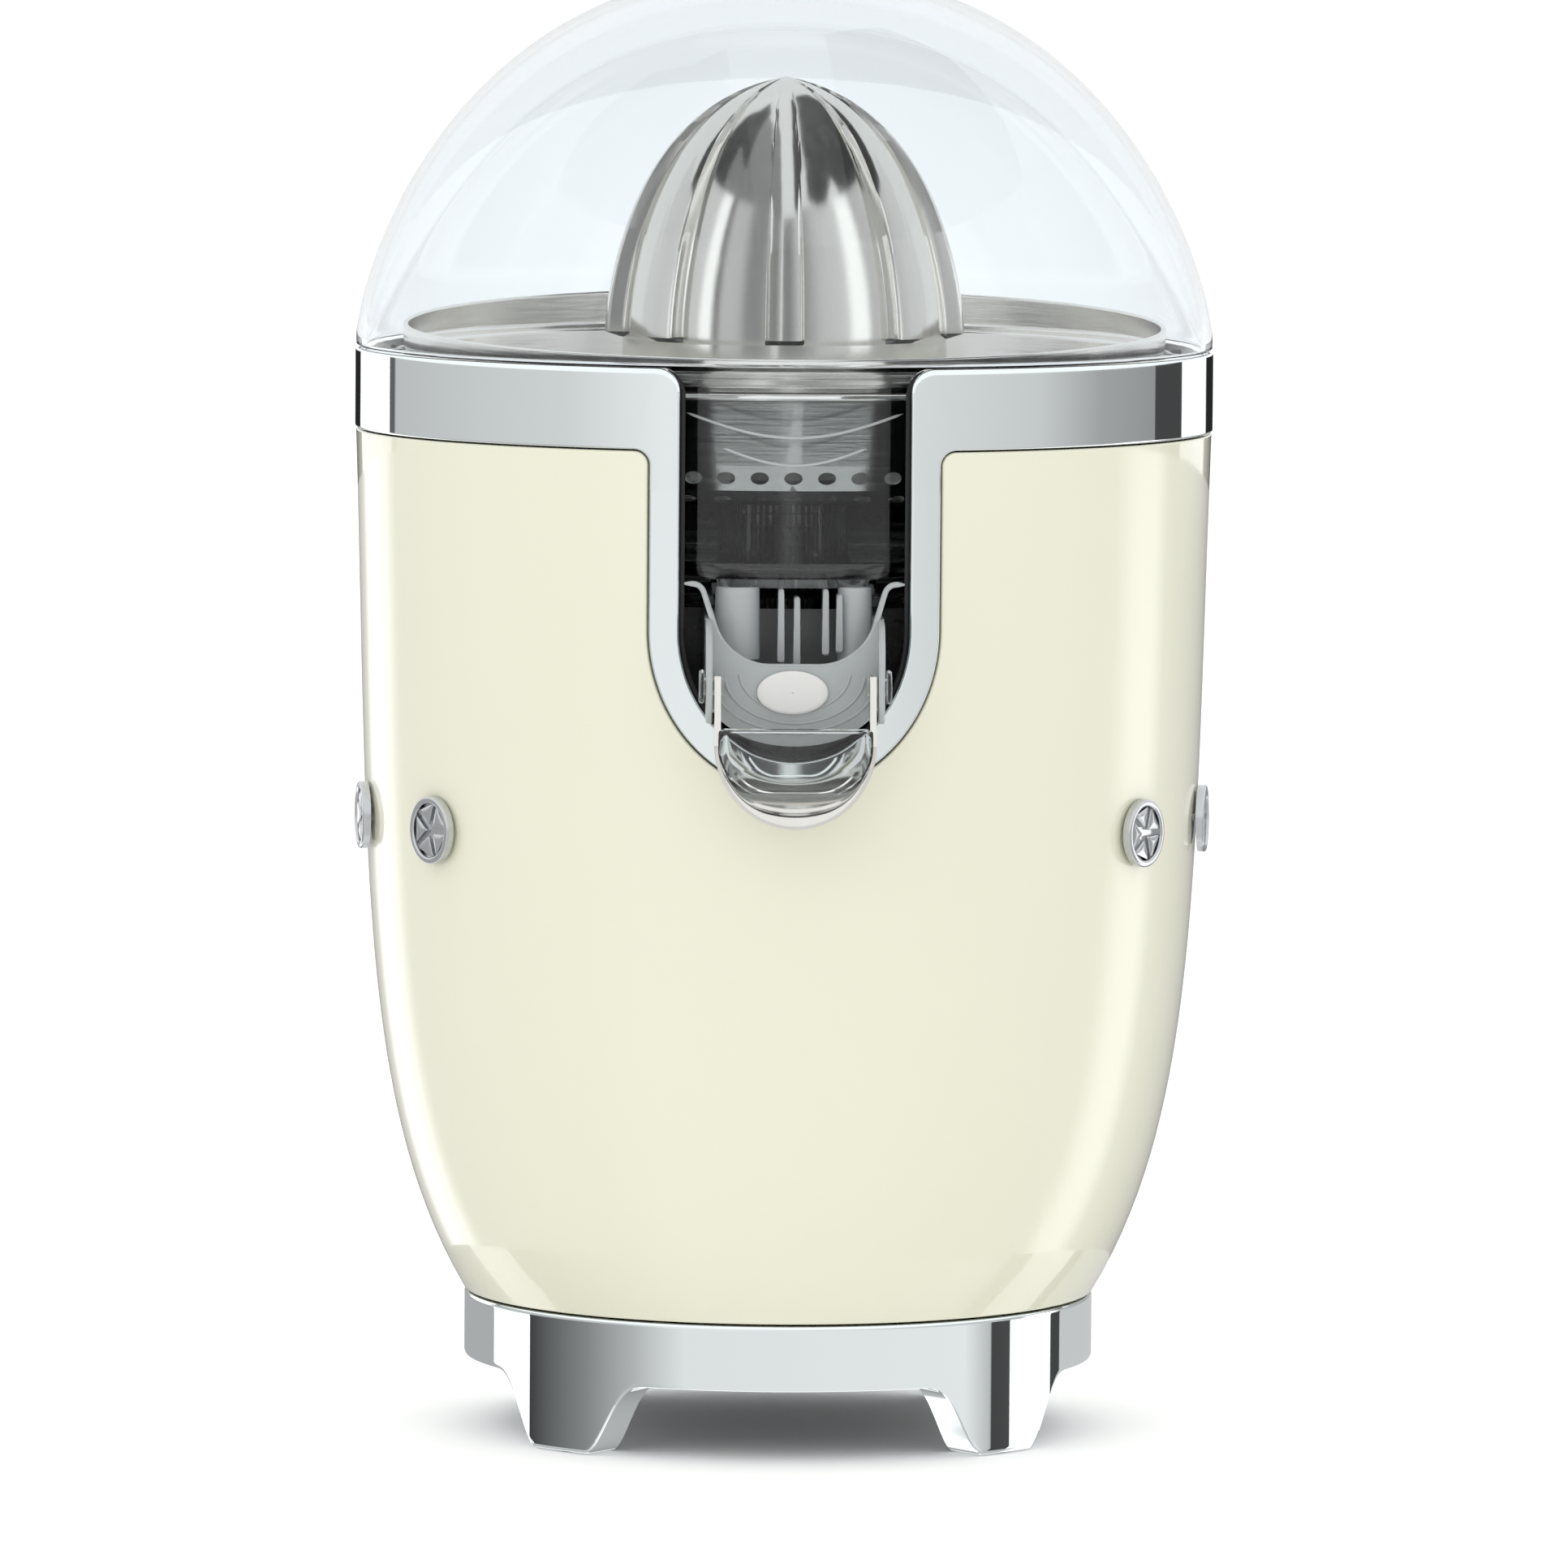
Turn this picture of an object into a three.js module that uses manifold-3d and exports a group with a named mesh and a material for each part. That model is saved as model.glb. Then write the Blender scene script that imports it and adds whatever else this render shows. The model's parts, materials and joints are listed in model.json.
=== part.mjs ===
// Electric citrus press juicer. Millimetres, +Z up, the spout faces -Y.
// Everything is drawn about the drive axis at x = 0, y = 0 and then shifted back by AXIS_Y,
// because the spout reaches further forward than the body does behind.
import * as THREE from 'three';
import { mergeVertices } from 'three/addons/utils/BufferGeometryUtils.js';
import Module from 'manifold-3d';

const wasm = await Module();
wasm.setup();

// ---------------------------------------------------------------- driving dimensions
const AXIS_Y = 5.7;              // how far behind the origin the drive axis stands
const GAP = 0.3;                 // clearance left between two pieces that touch
const AROUND = 40;               // facets round the large turned pieces

const BASE_TOP = 26.7;           // top of the chrome base, just under the painted body
const BASE_FOOT = 1.2;           // underside of its feet
const ARCH_DEPTH = 48;           // distance from the axis at which the arches have their drawn width
const BODY_WALL = 2.6;           // thickness of the painted body
const BODY_TOP = 194.5;          // where the painted body meets the chrome band
const BAND_TOP = 210.2;          // top of the chrome band
const BAND_OUTER = 83.2;
const BAND_INNER = 80.2;

const SHOULDER = 160.7;          // height at which the opening stops being straight
const TRIM_HALF = 27.5;          // half width of the chrome surround of the opening
const TRIM_DROP = 30.1;          // depth of its rounded bottom below the shoulder
const OPENING_HALF = 21.9;       // half width of the opening itself
const OPENING_DROP = 24.5;

const WELL_FLOOR = 163;          // top of the deck that the bowl stands on
const BOWL_FLOOR = 166;          // top of the bowl's floor
const CHUTE_TOP = BOWL_FLOOR - 2.7;
const SPOUT_FRONT = -84.5;       // front end of the clear chute
const PIVOT_Y = -88.5;           // axis of the tilting drip lip
const PIVOT_Z = 151;
const LIP_SHOULDER = 140;        // height at which the lip's sides start to curve in

const RIM_TOP = 215;             // edge of the strainer's rim, level with the drive axis
const RIM_SLOPE = 0.045;         // how fast that edge rises to the back
const LID_TOP = 284;
const CONE_TOP = 263;
const CONE_RIBS = 8;
const CONE_RIB_TURN = -0.026;    // how far the front rib is turned off straight ahead, in radians
const CONE_FLUTE = 3.2;          // how deep the hollows between the ribs are at the widest

const FEET = 4;
const FOOT_RADIUS = 56.8;        // circle of the foot pads
const BASE_SCREW_RADIUS = 48.5;
const POSTS = [[50, -14], [-50, -14], [36, 42], [-36, 42]];   // gearbox pillars

// Gear train: motor pinion > idler wheel, idler pinion > output wheel.
const PRESSURE = 25 * Math.PI / 180;
const FAST = { module: 1, pinion: 9, wheel: 40 };
const SLOW = { module: 1.5, pinion: 10, wheel: 44 };
const IDLER_Y = SLOW.module * (SLOW.pinion + SLOW.wheel) / 2;
const MOTOR_Y = IDLER_Y - FAST.module * (FAST.pinion + FAST.wheel) / 2;

const MOTOR_PLATE = { bottom: 84, top: 87 };
const COVER_PLATE = { bottom: 117, top: 120 };

// ---------------------------------------------------------------- materials
const FINISHES = {
  cream_enamel: [0xefeed8, 0.22, 0],
  chrome: [0xd2d5d6, 0.08, 1],
  steel: [0xb9bcbc, 0.25, 1],
  clear_plastic: [0xe6eef0, 0.08, 0],
  dark_plastic: [0x2b2c2e, 0.55, 0],
  grey_plastic: [0x9a9d9e, 0.5, 0],
  white_plastic: [0xe9e9e4, 0.45, 0],
  rubber: [0x1f1f20, 0.8, 0],
  bronze: [0x9c7642, 0.4, 1],
  ferrite: [0x3a3b3d, 0.7, 0],
  board_green: [0x2f6b45, 0.5, 0],
};

// ---------------------------------------------------------------- solid helpers
function point(r, z) {
  return new THREE.Vector2(r, z);
}

function signedVolume(positions, corners) {
  const [a, b, c] = [new THREE.Vector3(), new THREE.Vector3(), new THREE.Vector3()];
  let sum = 0;
  for (let i = 0; i < corners.length; i += 3) {
    a.fromBufferAttribute(positions, corners[i]);
    b.fromBufferAttribute(positions, corners[i + 1]);
    c.fromBufferAttribute(positions, corners[i + 2]);
    sum += a.dot(b.cross(c)) / 6;
  }
  return sum;
}

// A closed three.js geometry as a solid, with its faces turned outward.
function solid(geometry) {
  const bare = new THREE.BufferGeometry();
  bare.setAttribute('position', geometry.getAttribute('position'));
  bare.setIndex(geometry.getIndex());
  const merged = mergeVertices(bare, 1e-4);
  const index = merged.getIndex().array;
  const corners = [];
  for (let i = 0; i < index.length; i += 3) {
    const [a, b, c] = [index[i], index[i + 1], index[i + 2]];
    if (a !== b && b !== c && c !== a) corners.push(a, b, c);
  }
  if (signedVolume(merged.getAttribute('position'), corners) < 0) corners.reverse();
  return new wasm.Manifold(new wasm.Mesh({
    numProp: 3,
    vertProperties: new Float32Array(merged.getAttribute('position').array),
    triVerts: new Uint32Array(corners),
  }));
}

// A profile of [radius, height] pairs turned round the Z axis.
function turned(profile, around = AROUND) {
  const outline = profile.map(([r, z]) => point(r, z));
  const onAxis = profile[0][0] === 0 && profile[profile.length - 1][0] === 0;
  if (!onAxis) outline.push(outline[0].clone());
  return solid(new THREE.LatheGeometry(outline, around).rotateX(Math.PI / 2));
}

function cylinder(radius, bottom, top, around = 24) {
  return turned([[0, bottom], [radius, bottom], [radius, top], [0, top]], around);
}

function ring(inner, outer, bottom, top, around = 24) {
  return turned([[inner, bottom], [outer, bottom], [outer, top], [inner, top]], around);
}

function extruded(shape, depth, curveSegments) {
  return new THREE.ExtrudeGeometry(shape, { depth, bevelEnabled: false, curveSegments, steps: 1 });
}

// A plan outline raised from one height to another.
function upright(shape, bottom, top, curveSegments = 8) {
  return solid(extruded(shape, top - bottom, curveSegments).translate(0, 0, bottom));
}

// An outline in x and z, run along y.
function frontal(shape, front, back, curveSegments = 14) {
  return solid(extruded(shape, back - front, curveSegments).rotateX(Math.PI / 2).translate(0, back, 0));
}

// An outline in y and z, run along x.
function sideways(shape, left, right) {
  const turn = new THREE.Matrix4().set(0, 0, 1, 0, 1, 0, 0, 0, 0, 1, 0, 0, 0, 0, 0, 1);
  return solid(extruded(shape, right - left, 6).applyMatrix4(turn).translate(left, 0, 0));
}

function outline(pairs) {
  return new THREE.Shape(pairs.map(([a, b]) => point(a, b)));
}

function block(x0, x1, y0, y1, z0, z1) {
  return upright(outline([[x0, y0], [x1, y0], [x1, y1], [x0, y1]]), z0, z1);
}

// Copies of one solid spread evenly round the Z axis.
function roundCopies(piece, count, firstDegrees = 0) {
  const copies = [];
  for (let i = 0; i < count; i += 1) {
    copies.push(piece.rotate([0, 0, firstDegrees + (i * 360) / count]));
  }
  return copies;
}

function joined(...pieces) {
  return pieces.flat().reduce((all, piece) => all.add(piece));
}

function cut(from, ...tools) {
  return from.subtract(joined(...tools));
}

// ---------------------------------------------------------------- shared outlines
function bodyCurve(steps, inset = 0) {
  const curve = new THREE.CubicBezierCurve(
    point(61.2, 27), point(82.25, 62.2), point(80.4, 110.5), point(83, BODY_TOP));
  return curve.getPoints(steps).map((p) => [p.x - inset, p.y]);
}

// The U of the front opening: straight sides, a half ellipse below and rounded shoulders on top.
function openingShape(half, drop, top, corner, extra = 0) {
  const shape = new THREE.Shape();
  shape.moveTo(-half - corner, top + extra);
  if (extra > 0) shape.lineTo(-half - corner, top);
  shape.absarc(-half - corner, top - corner, corner, Math.PI / 2, 0, true);
  shape.lineTo(-half, SHOULDER);
  shape.absellipse(0, SHOULDER, half, drop, Math.PI, 2 * Math.PI, false);
  shape.lineTo(half, top - corner);
  shape.absarc(half + corner, top - corner, corner, Math.PI, Math.PI / 2, true);
  if (extra > 0) shape.lineTo(half + corner, top + extra);
  return shape;
}

// A plain U: straight sides and a half ellipse below.
function troughShape(half, shoulder, drop, top) {
  const shape = new THREE.Shape();
  shape.moveTo(-half, top);
  shape.lineTo(-half, shoulder);
  shape.absellipse(0, shoulder, half, drop, Math.PI, 2 * Math.PI, false);
  shape.lineTo(half, top);
  return shape;
}

// Involute gear outline. Each flank is drawn with flankPoints points, and the teeth are thinned
// for backlash. phase is the direction of one tooth's centre.
function gearShape(module, teeth, phase, flankPoints, bore = 0) {
  const pitch = module * teeth / 2;
  const base = pitch * Math.cos(PRESSURE);
  const tip = pitch + 0.8 * module;
  const root = pitch - 1.05 * module;
  const involute = (angle) => Math.tan(angle) - angle;
  const halfAtPitch = Math.PI / (2 * teeth) - 0.07 * module / pitch;
  const start = Math.max(base, root);
  const flank = root < start ? [[root, halfAtPitch + involute(PRESSURE)]] : [];
  for (let i = 0; i < flankPoints; i += 1) {
    const radius = start + (tip - start) * i / (flankPoints - 1);
    const half = halfAtPitch + involute(PRESSURE) - involute(Math.acos(base / radius));
    flank.push([radius, half]);
  }
  const points = [];
  for (let tooth = 0; tooth < teeth; tooth += 1) {
    const centre = phase + (tooth * 2 * Math.PI) / teeth;
    const rising = flank.map(([r, half]) => [r, centre - half]);
    const falling = flank.map(([r, half]) => [r, centre + half]).reverse();
    for (const [r, a] of [...rising, ...falling]) points.push(point(r * Math.cos(a), r * Math.sin(a)));
  }
  const shape = new THREE.Shape(points);
  if (bore > 0) shape.holes.push(new THREE.Path().absarc(0, 0, bore, 0, 2 * Math.PI, true));
  return shape;
}

// ---------------------------------------------------------------- the fixed housing
function housingShell() {
  const outer = bodyCurve(7);
  const inner = bodyCurve(5, BODY_WALL).filter(([, z]) => z > 31).reverse();
  const flange = [[58, 30], [44, 30], [44, 27]];
  const shell = turned([...outer, [83 - BODY_WALL, BODY_TOP], ...inner.slice(1), ...flange]);
  const notch = openingShape(TRIM_HALF + GAP, TRIM_DROP + GAP, BODY_TOP, 2.7, 5);
  return cut(shell, frontal(notch, -100, -40), screwHoles(26, 31));
}

function screwHoles(bottom, top) {
  const hole = cylinder(1.9, bottom, top, 8).translate([BASE_SCREW_RADIUS, 0, 0]);
  return roundCopies(hole, 4, 45);
}

function frontOpening() {
  return frontal(openingShape(OPENING_HALF, OPENING_DROP, BAND_TOP, 4.4, 5), -100, -40);
}

function trimBand() {
  const band = turned([
    [BAND_INNER, BODY_TOP + GAP], [BAND_OUTER, BODY_TOP + GAP], [BAND_OUTER, BAND_TOP - 0.8],
    [BAND_OUTER - 0.8, BAND_TOP], [BAND_INNER, BAND_TOP]]);
  return cut(band, frontOpening());
}

// The U-shaped surround that carries the band's chrome down round the opening.
function openingTrim() {
  const outer = bodyCurve(8, -0.5).filter(([, z]) => z > 100);
  const inner = bodyCurve(8, 2.2).filter(([, z]) => z > 100).reverse();
  const skin = turned([...outer, [83.5, 198], [80.8, 198], ...inner]);
  const surround = frontal(openingShape(TRIM_HALF, TRIM_DROP, BODY_TOP, 3), -100, -40);
  return cut(skin.intersect(surround), frontOpening());
}

// The deck under the bowl, with a channel at the front that the bowl's chute drops into.
function bowlWell() {
  const deck = turned([
    [6.9, 160], [79, 160], [79, 205], [79.9, 205], [79.9, 206.2], [77, 206.2],
    [77, WELL_FLOOR], [9, WELL_FLOOR], [9, 176], [6.9, 176]]);
  const channel = frontal(troughShape(24.5, SHOULDER, 26.9, 161), -82, -36)
    .intersect(cylinder(78.4, 130, 170, AROUND));
  const inside = frontal(troughShape(22.3, SHOULDER, 24.9, 230), -100, -38.2);
  const pillarHoles = POSTS.map(([x, y]) => cylinder(1.9, 159, 164, 8).translate([x, y, 0]));
  return cut(joined(deck, channel), inside, pillarHoles);
}

// Four feet with arches between them. The arches narrow toward the axis.
function baseRing() {
  const body = turned([
    [52, BASE_FOOT], [60.4, BASE_FOOT], [61.2, BASE_FOOT + 0.8], [61.2, BASE_TOP], [44, BASE_TOP],
    [44, 23], [52, 23]]);
  const arch = new THREE.Shape();
  arch.moveTo(-38.6, 0);
  arch.bezierCurveTo(-34.5, 3.5, -33, 14, -26, 14);
  arch.lineTo(26, 14);
  arch.bezierCurveTo(33, 14, 34.5, 3.5, 38.6, 0);
  const opening = frontal(arch, -80, -30, 5).warp((at) => {
    at[0] *= -at[1] / ARCH_DEPTH;
  });
  return cut(body, roundCopies(opening, FEET), screwHoles(22, 28));
}

function footPad(turn) {
  return cylinder(2.8, 0, BASE_FOOT - GAP, 12).translate([FOOT_RADIUS, 0, 0]).rotate([0, 0, turn]);
}

function bottomPlate() {
  const plate = ring(4, 51.6, 20.2, 22.7, AROUND);
  const middle = cylinder(4.5, 20.2, 22.7);
  const slot = block(9, 20, -1.5, 1.5, 19, 24);
  const vents = roundCopies(slot, 6, 30).map((piece) => piece.translate([0, MOTOR_Y, 0]));
  const cordHole = cylinder(3.6, 19, 24, 16).translate([0, 42, 0]);
  return cut(joined(plate, middle), vents, cordHole, screwHoles(19, 24));
}

function cordInlet() {
  return turned([
    [3.4, 11.5], [4.6, 11.5], [5.4, 16], [7, 18], [7, 19.9], [3.4, 19.9]], 16).translate([0, 42, 0]);
}

function screw(x, y, seat, length) {
  const head = cylinder(3, seat - 2.2, seat, 8);
  const recess = cylinder(1.2, seat - 3, seat - 1.1, 6);
  return joined(cut(head, recess), cylinder(1.5, seat - 0.5, seat + length, 8)).translate([x, y, 0]);
}

// A round badge like a slice of citrus: a rim and segments open between the spokes.
function badge(turn) {
  const disc = new THREE.Shape().absarc(0, 0, 6.5, 0, 2 * Math.PI, false);
  for (let i = 0; i < 5; i += 1) {
    const middle = (i + 0.25) * 2 * Math.PI / 5;
    const corners = [[1.7, 0], [5, 0.46], [5, -0.46]];
    disc.holes.push(new THREE.Path(corners.map(([r, a]) => point(
      r * Math.cos(middle + a), r * Math.sin(middle + a)))));
  }
  return upright(disc, 0, 1.6, 7).rotate([90, 0, 0]).translate([0, -81.4, 120]).rotate([0, 0, turn]);
}

// ---------------------------------------------------------------- the drive inside the body
function motorPlate() {
  const plate = cylinder(62, MOTOR_PLATE.bottom, MOTOR_PLATE.top, AROUND);
  const posts = POSTS.map(([x, y]) => cylinder(1.9, 80, 90, 8).translate([x, y, 0]));
  const motor = cylinder(6.2, 80, 90).translate([0, MOTOR_Y, 0]);
  const axle = cylinder(2.8, 80, 90, 16).translate([0, IDLER_Y, 0]);
  return cut(plate, posts, motor, axle);
}

function gearboxCover() {
  const plate = cylinder(62, COVER_PLATE.bottom, COVER_PLATE.top, AROUND);
  const pillars = POSTS.map(([x, y]) => cylinder(4.5, MOTOR_PLATE.top + GAP, 159.7, 12).translate([x, y, 0]));
  const threads = POSTS.map(([x, y]) => cylinder(1.8, 80, 102, 8).translate([x, y, 0]));
  const shaft = cylinder(6.6, 110, 125);
  const axle = cylinder(2.8, 110, 125, 16).translate([0, IDLER_Y, 0]);
  return cut(joined(plate, pillars), threads, shaft, axle);
}

function motorCan() {
  return turned([
    [4.5, 32], [23, 32], [24, 33], [24, 78], [22.8, 78], [22.8, 33.2], [4.5, 33.2]], 24)
    .translate([0, MOTOR_Y, 0]);
}

function motorCap() {
  return turned([[3, 78.3], [24, 78.3], [24, 80], [9, 82], [3, 82]], 24).translate([0, MOTOR_Y, 0]);
}

function magnet(side) {
  const arc = new THREE.Shape();
  arc.absarc(0, 0, 22.4, -1.1, 1.1, false);
  arc.absarc(0, 0, 19.6, 1.1, -1.1, true);
  return upright(arc, 42, 72, 8).rotate([0, 0, side > 0 ? 0 : 180]).translate([0, MOTOR_Y, 0]);
}

// Armature, commutator, shaft and pinion turn as one piece.
function rotor() {
  const slots = roundCopies(block(8, 20, -1.2, 1.2, 40, 76), 6);
  const armature = cut(cylinder(18.8, 44, 70), slots);
  const commutator = cylinder(6, 69, 76, 16);
  const shaft = cylinder(1.6, 24, 97, 12);
  const phase = Math.PI / 2 + Math.PI / FAST.pinion;
  const pinion = upright(gearShape(FAST.module, FAST.pinion, phase, 3), 90, 96.5);
  return joined(armature, commutator, shaft, pinion).translate([0, MOTOR_Y, 0]);
}

function coolingFan() {
  const hub = ring(1.9, 5, 25, 30, 16);
  const disc = ring(4, 20, 29, 30);
  const blade = block(4.5, 19.5, -0.6, 0.6, 25, 29.5);
  return joined(hub, disc, roundCopies(blade, 6)).translate([0, MOTOR_Y, 0]);
}

function idlerGear() {
  const wheel = upright(gearShape(FAST.module, FAST.wheel, -Math.PI / 2, 2), 90.5, 96, 8);
  const phase = -Math.PI / 2 + Math.PI / SLOW.pinion;
  const pinion = upright(gearShape(SLOW.module, SLOW.pinion, phase, 3), 95.5, 116.5, 8);
  return cut(joined(wheel, pinion), cylinder(2.8, 80, 120, 16)).translate([0, IDLER_Y, 0]);
}

function outputGear() {
  const wheel = upright(gearShape(SLOW.module, SLOW.wheel, Math.PI / 2, 2), 106, 113, 8);
  const webs = roundCopies(cylinder(6, 100, 120, 8).translate([20, 0, 0]), 5);
  return cut(joined(wheel, cylinder(9, 105, 116)), webs, cylinder(5.3, 100, 120));
}

// Round below, six-sided above the bowl, so that the reamer's hub drops over it.
function driveShaft() {
  const round = cylinder(5, 101.5, 184);
  const hexagon = cylinder(4.8, 183, 230, 6);
  return joined(round, hexagon);
}

function thrustCup() {
  return turned([
    [0, 89.8], [4, 89.8], [4, 99], [9, 99], [9, 104.7], [5.3, 104.7], [5.3, 101.2], [0, 101.2]], 24);
}

class Coil extends THREE.Curve {
  constructor(radius, bottom, top, turns) {
    super();
    Object.assign(this, { radius, bottom, top, turns });
  }

  getPoint(t) {
    const angle = t * this.turns * 2 * Math.PI;
    const height = this.bottom + t * (this.top - this.bottom);
    return new THREE.Vector3(this.radius * Math.cos(angle), this.radius * Math.sin(angle), height);
  }
}

function returnSpring() {
  const wire = new THREE.Shape().absarc(0, 0, 0.55, 0, 2 * Math.PI, false);
  const path = new Coil(6, MOTOR_PLATE.top + 0.9, 98.1, 4);
  return solid(new THREE.ExtrudeGeometry(wire, { steps: 40, curveSegments: 3, extrudePath: path }));
}

function switchBody() {
  const body = block(-36, -16, -3.2, 3.2, MOTOR_PLATE.top + GAP, 95.5);
  const hinge = block(-36, -33, -1.4, 1.4, 95, 97.2);
  const well = block(-23.5, -20.5, -1.5, 1.5, 93.6, 96);
  return cut(joined(body, hinge), well);
}

function switchLever() {
  return block(-36, -8, -1.6, 1.6, 97.6, 98.2);
}

function switchButton() {
  return block(-23.2, -20.8, -1.2, 1.2, 94.6, 97.2);
}

function controlBoard() {
  return block(-54, -28, 10, 30, 89, 90.6);
}

function capacitor() {
  return turned([[0, 90.9], [5.6, 90.9], [6, 91.4], [6, 103.5], [5.6, 104], [0, 104]], 16)
    .translate([-42, 20, 0]);
}

function idlerAxle() {
  return cylinder(2.5, 82.5, 121.5, 16).translate([0, IDLER_Y, 0]);
}

// ---------------------------------------------------------------- the bowl and its spout
function juiceBowl() {
  const bowl = turned([
    [9.6, 163.6], [70, 163.6], [76, 170], [76.4, 206.5], [79.9, 206.5], [79.9, 209.5], [71.2, 209.5],
    [71.2, 206.5], [74.2, 204], [73.9, 171], [69, BOWL_FLOOR], [13.5, BOWL_FLOOR], [12, 168],
    [12, 181], [6, 181], [6, 178.5], [9.6, 178.5]]);
  return cut(bowl, block(-14.8, 14.8, -68, -50, 160, 168));
}

// The trough under the bowl's drain, with two cheeks in front that carry the pouring lip.
function spoutChute() {
  const trough = frontal(troughShape(16.8, 150, 10.5, CHUTE_TOP), SPOUT_FRONT, -48);
  const cheekShape = outline([
    [-78, CHUTE_TOP], [-87, CHUTE_TOP], [-91.5, 159], [-91.5, 146], [-89.5, 143.5],
    [-84.6, 146], [-84.6, 148], [-78, 152]]);
  cheekShape.holes.push(new THREE.Path().absarc(PIVOT_Y, PIVOT_Z, 1.9, 0, 2 * Math.PI, true));
  const cheeks = [sideways(cheekShape, 15.6, 16.8), sideways(cheekShape, -16.8, -15.6)];
  const inside = frontal(troughShape(14.8, 150, 8.5, CHUTE_TOP + 1), -86, -50);
  return joined(cut(trough, inside), cheeks);
}

function bowlSeal() {
  return turned([[5.3, 181.3], [8, 181.3], [8, 182.6], [5.3, 182.6]], 24);
}

function spoutPin(side) {
  const shank = cylinder(1.6, 13.2, 17.5, 12);
  const head = cylinder(3.2, 17.1, 18.2, 16);
  return joined(shank, head).rotate([0, side * 90, 0]).translate([0, PIVOT_Y, PIVOT_Z]);
}

// A short trough whose floor falls steeply to the front.
function spoutLip() {
  const trough = cut(
    frontal(troughShape(15.2, LIP_SHOULDER, 16, 156), -93.4, -85).warp(raiseBack),
    frontal(troughShape(14, LIP_SHOULDER, 14.6, 158), -95, -83).warp(raiseBack));
  const side = outline([
    [-85.1, 151], [-86.1, 153.4], [-88.5, 154.4], [-90.9, 153.4], [-91.9, 151], [-92.6, 143],
    [-93.4, 123], [-86.4, 123], [-85.1, 126]]);
  side.holes.push(new THREE.Path().absarc(PIVOT_Y, PIVOT_Z, 1.9, 0, 2 * Math.PI, true));
  return trough.intersect(sideways(side, -20, 20));
}

// Pulls a point of the lip's rounded bottom upward, the more the further back it lies.
function raiseBack(at) {
  if (at[2] < LIP_SHOULDER) at[2] = LIP_SHOULDER + (at[2] - LIP_SHOULDER) * (1 - 0.06 * (at[1] + 93.4));
}

function spoutShield() {
  return frontal(troughShape(14.6, 136, 5.5, 143.5), -94.7, -93.7);
}

// ---------------------------------------------------------------- strainer, reamer and lid
// The edge of its rim stands higher at the back than at the front.
function strainer() {
  const dish = turned([
    [7, 183.3], [61, 183.3], [66.6, 188.6], [69.4, 206], [69.9, 209.8], [74, 209.8], [74, RIM_TOP],
    [73, RIM_TOP], [73, 210.8], [69, 210.8], [68.4, 206], [65.6, 189], [60.6, 184.4],
    [10, 184.4], [10, 189.7], [7, 189.7]]).warp((at) => {
    if (at[2] > RIM_TOP - 0.1) at[2] += RIM_SLOPE * at[1];
  });
  const slots = roundCopies(block(41, 56, -1.2, 1.2, 182, 186), 14);
  const windows = roundCopies(block(60, 70, -1.7, 1.7, 186.2, 188.4), 10, 9);
  return cut(dish, slots, windows);
}

function reamerHub() {
  const hub = turned([
    [0, 190], [12, 190], [29, 192], [29, 194], [9, 196], [8.4, 236], [6.4, 238], [0, 238]], 24);
  const fins = roundCopies(block(7, 28, -1, 1, 193, 212), 4, 45);
  return cut(joined(hub, fins), cylinder(5.4, 189, 232, 6));
}

// One ring of the fluted cone: the ribs stand on the outline and the flutes lie inside it.
function coneRing(radius, height, flute) {
  const points = [];
  for (let i = 0; i < AROUND; i += 1) {
    const angle = -Math.PI / 2 + CONE_RIB_TURN + (i * 2 * Math.PI) / AROUND;
    const between = Math.abs(Math.sin(CONE_RIBS * i * Math.PI / AROUND));
    const r = radius - flute * between ** 0.6;
    points.push([r * Math.cos(angle), r * Math.sin(angle), height]);
  }
  return points;
}

// A thin pressed-steel cone, open below.
function reamerCone() {
  const curve = new THREE.CubicBezierCurve(
    point(34.9, 212), point(34.9, 221.4), point(29.9, 258), point(0, CONE_TOP));
  const upper = curve.getPoints(7).slice(0, -1).map((p) => [p.x, p.y]);
  const profile = [[36, 190], ...upper];
  const fluteAt = (r) => Math.min(CONE_FLUTE, r * 0.14);
  const outside = profile.map(([r, z]) => coneRing(r, z, fluteAt(r)));
  const inside = profile.slice(0, -1).map(([r, z]) => coneRing(r - 1.4, z - (z > 200 ? 0.6 : 0), fluteAt(r)));
  return ringedSolid([0, 0, CONE_TOP], [...outside.reverse(), ...inside], [0, 0, CONE_TOP - 3.4]);
}

// A closed body from a first point, a run of rings and a last point.
function ringedSolid(first, rings, last) {
  const positions = [...first, ...rings.flat(2), ...last];
  const end = 1 + rings.length * AROUND;
  const corners = [];
  for (let i = 0; i < AROUND; i += 1) {
    const next = (i + 1) % AROUND;
    corners.push(0, 1 + i, 1 + next);
    for (let k = 0; k < rings.length - 1; k += 1) {
      const [near, far] = [1 + k * AROUND, 1 + (k + 1) * AROUND];
      corners.push(near + i, far + i, far + next, near + i, far + next, near + next);
    }
    corners.push(end, end - AROUND + next, end - AROUND + i);
  }
  const geometry = new THREE.BufferGeometry();
  geometry.setAttribute('position', new THREE.Float32BufferAttribute(positions, 3));
  geometry.setIndex(corners);
  return solid(geometry);
}

function lidDome() {
  const wall = 2;
  const domeCurve = (radius, top) => new THREE.CubicBezierCurve(
    point(radius, BAND_TOP + GAP), point(radius + 0.8, 219.5), point(68 - wall / 2, top), point(0, top));
  const outer = domeCurve(83, LID_TOP).getPoints(7).map((p) => [p.x, p.y]);
  const inner = domeCurve(83 - wall, LID_TOP - wall).getPoints(7).map((p) => [p.x, p.y]);
  return turned([...outer.reverse(), ...inner]);
}

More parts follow.
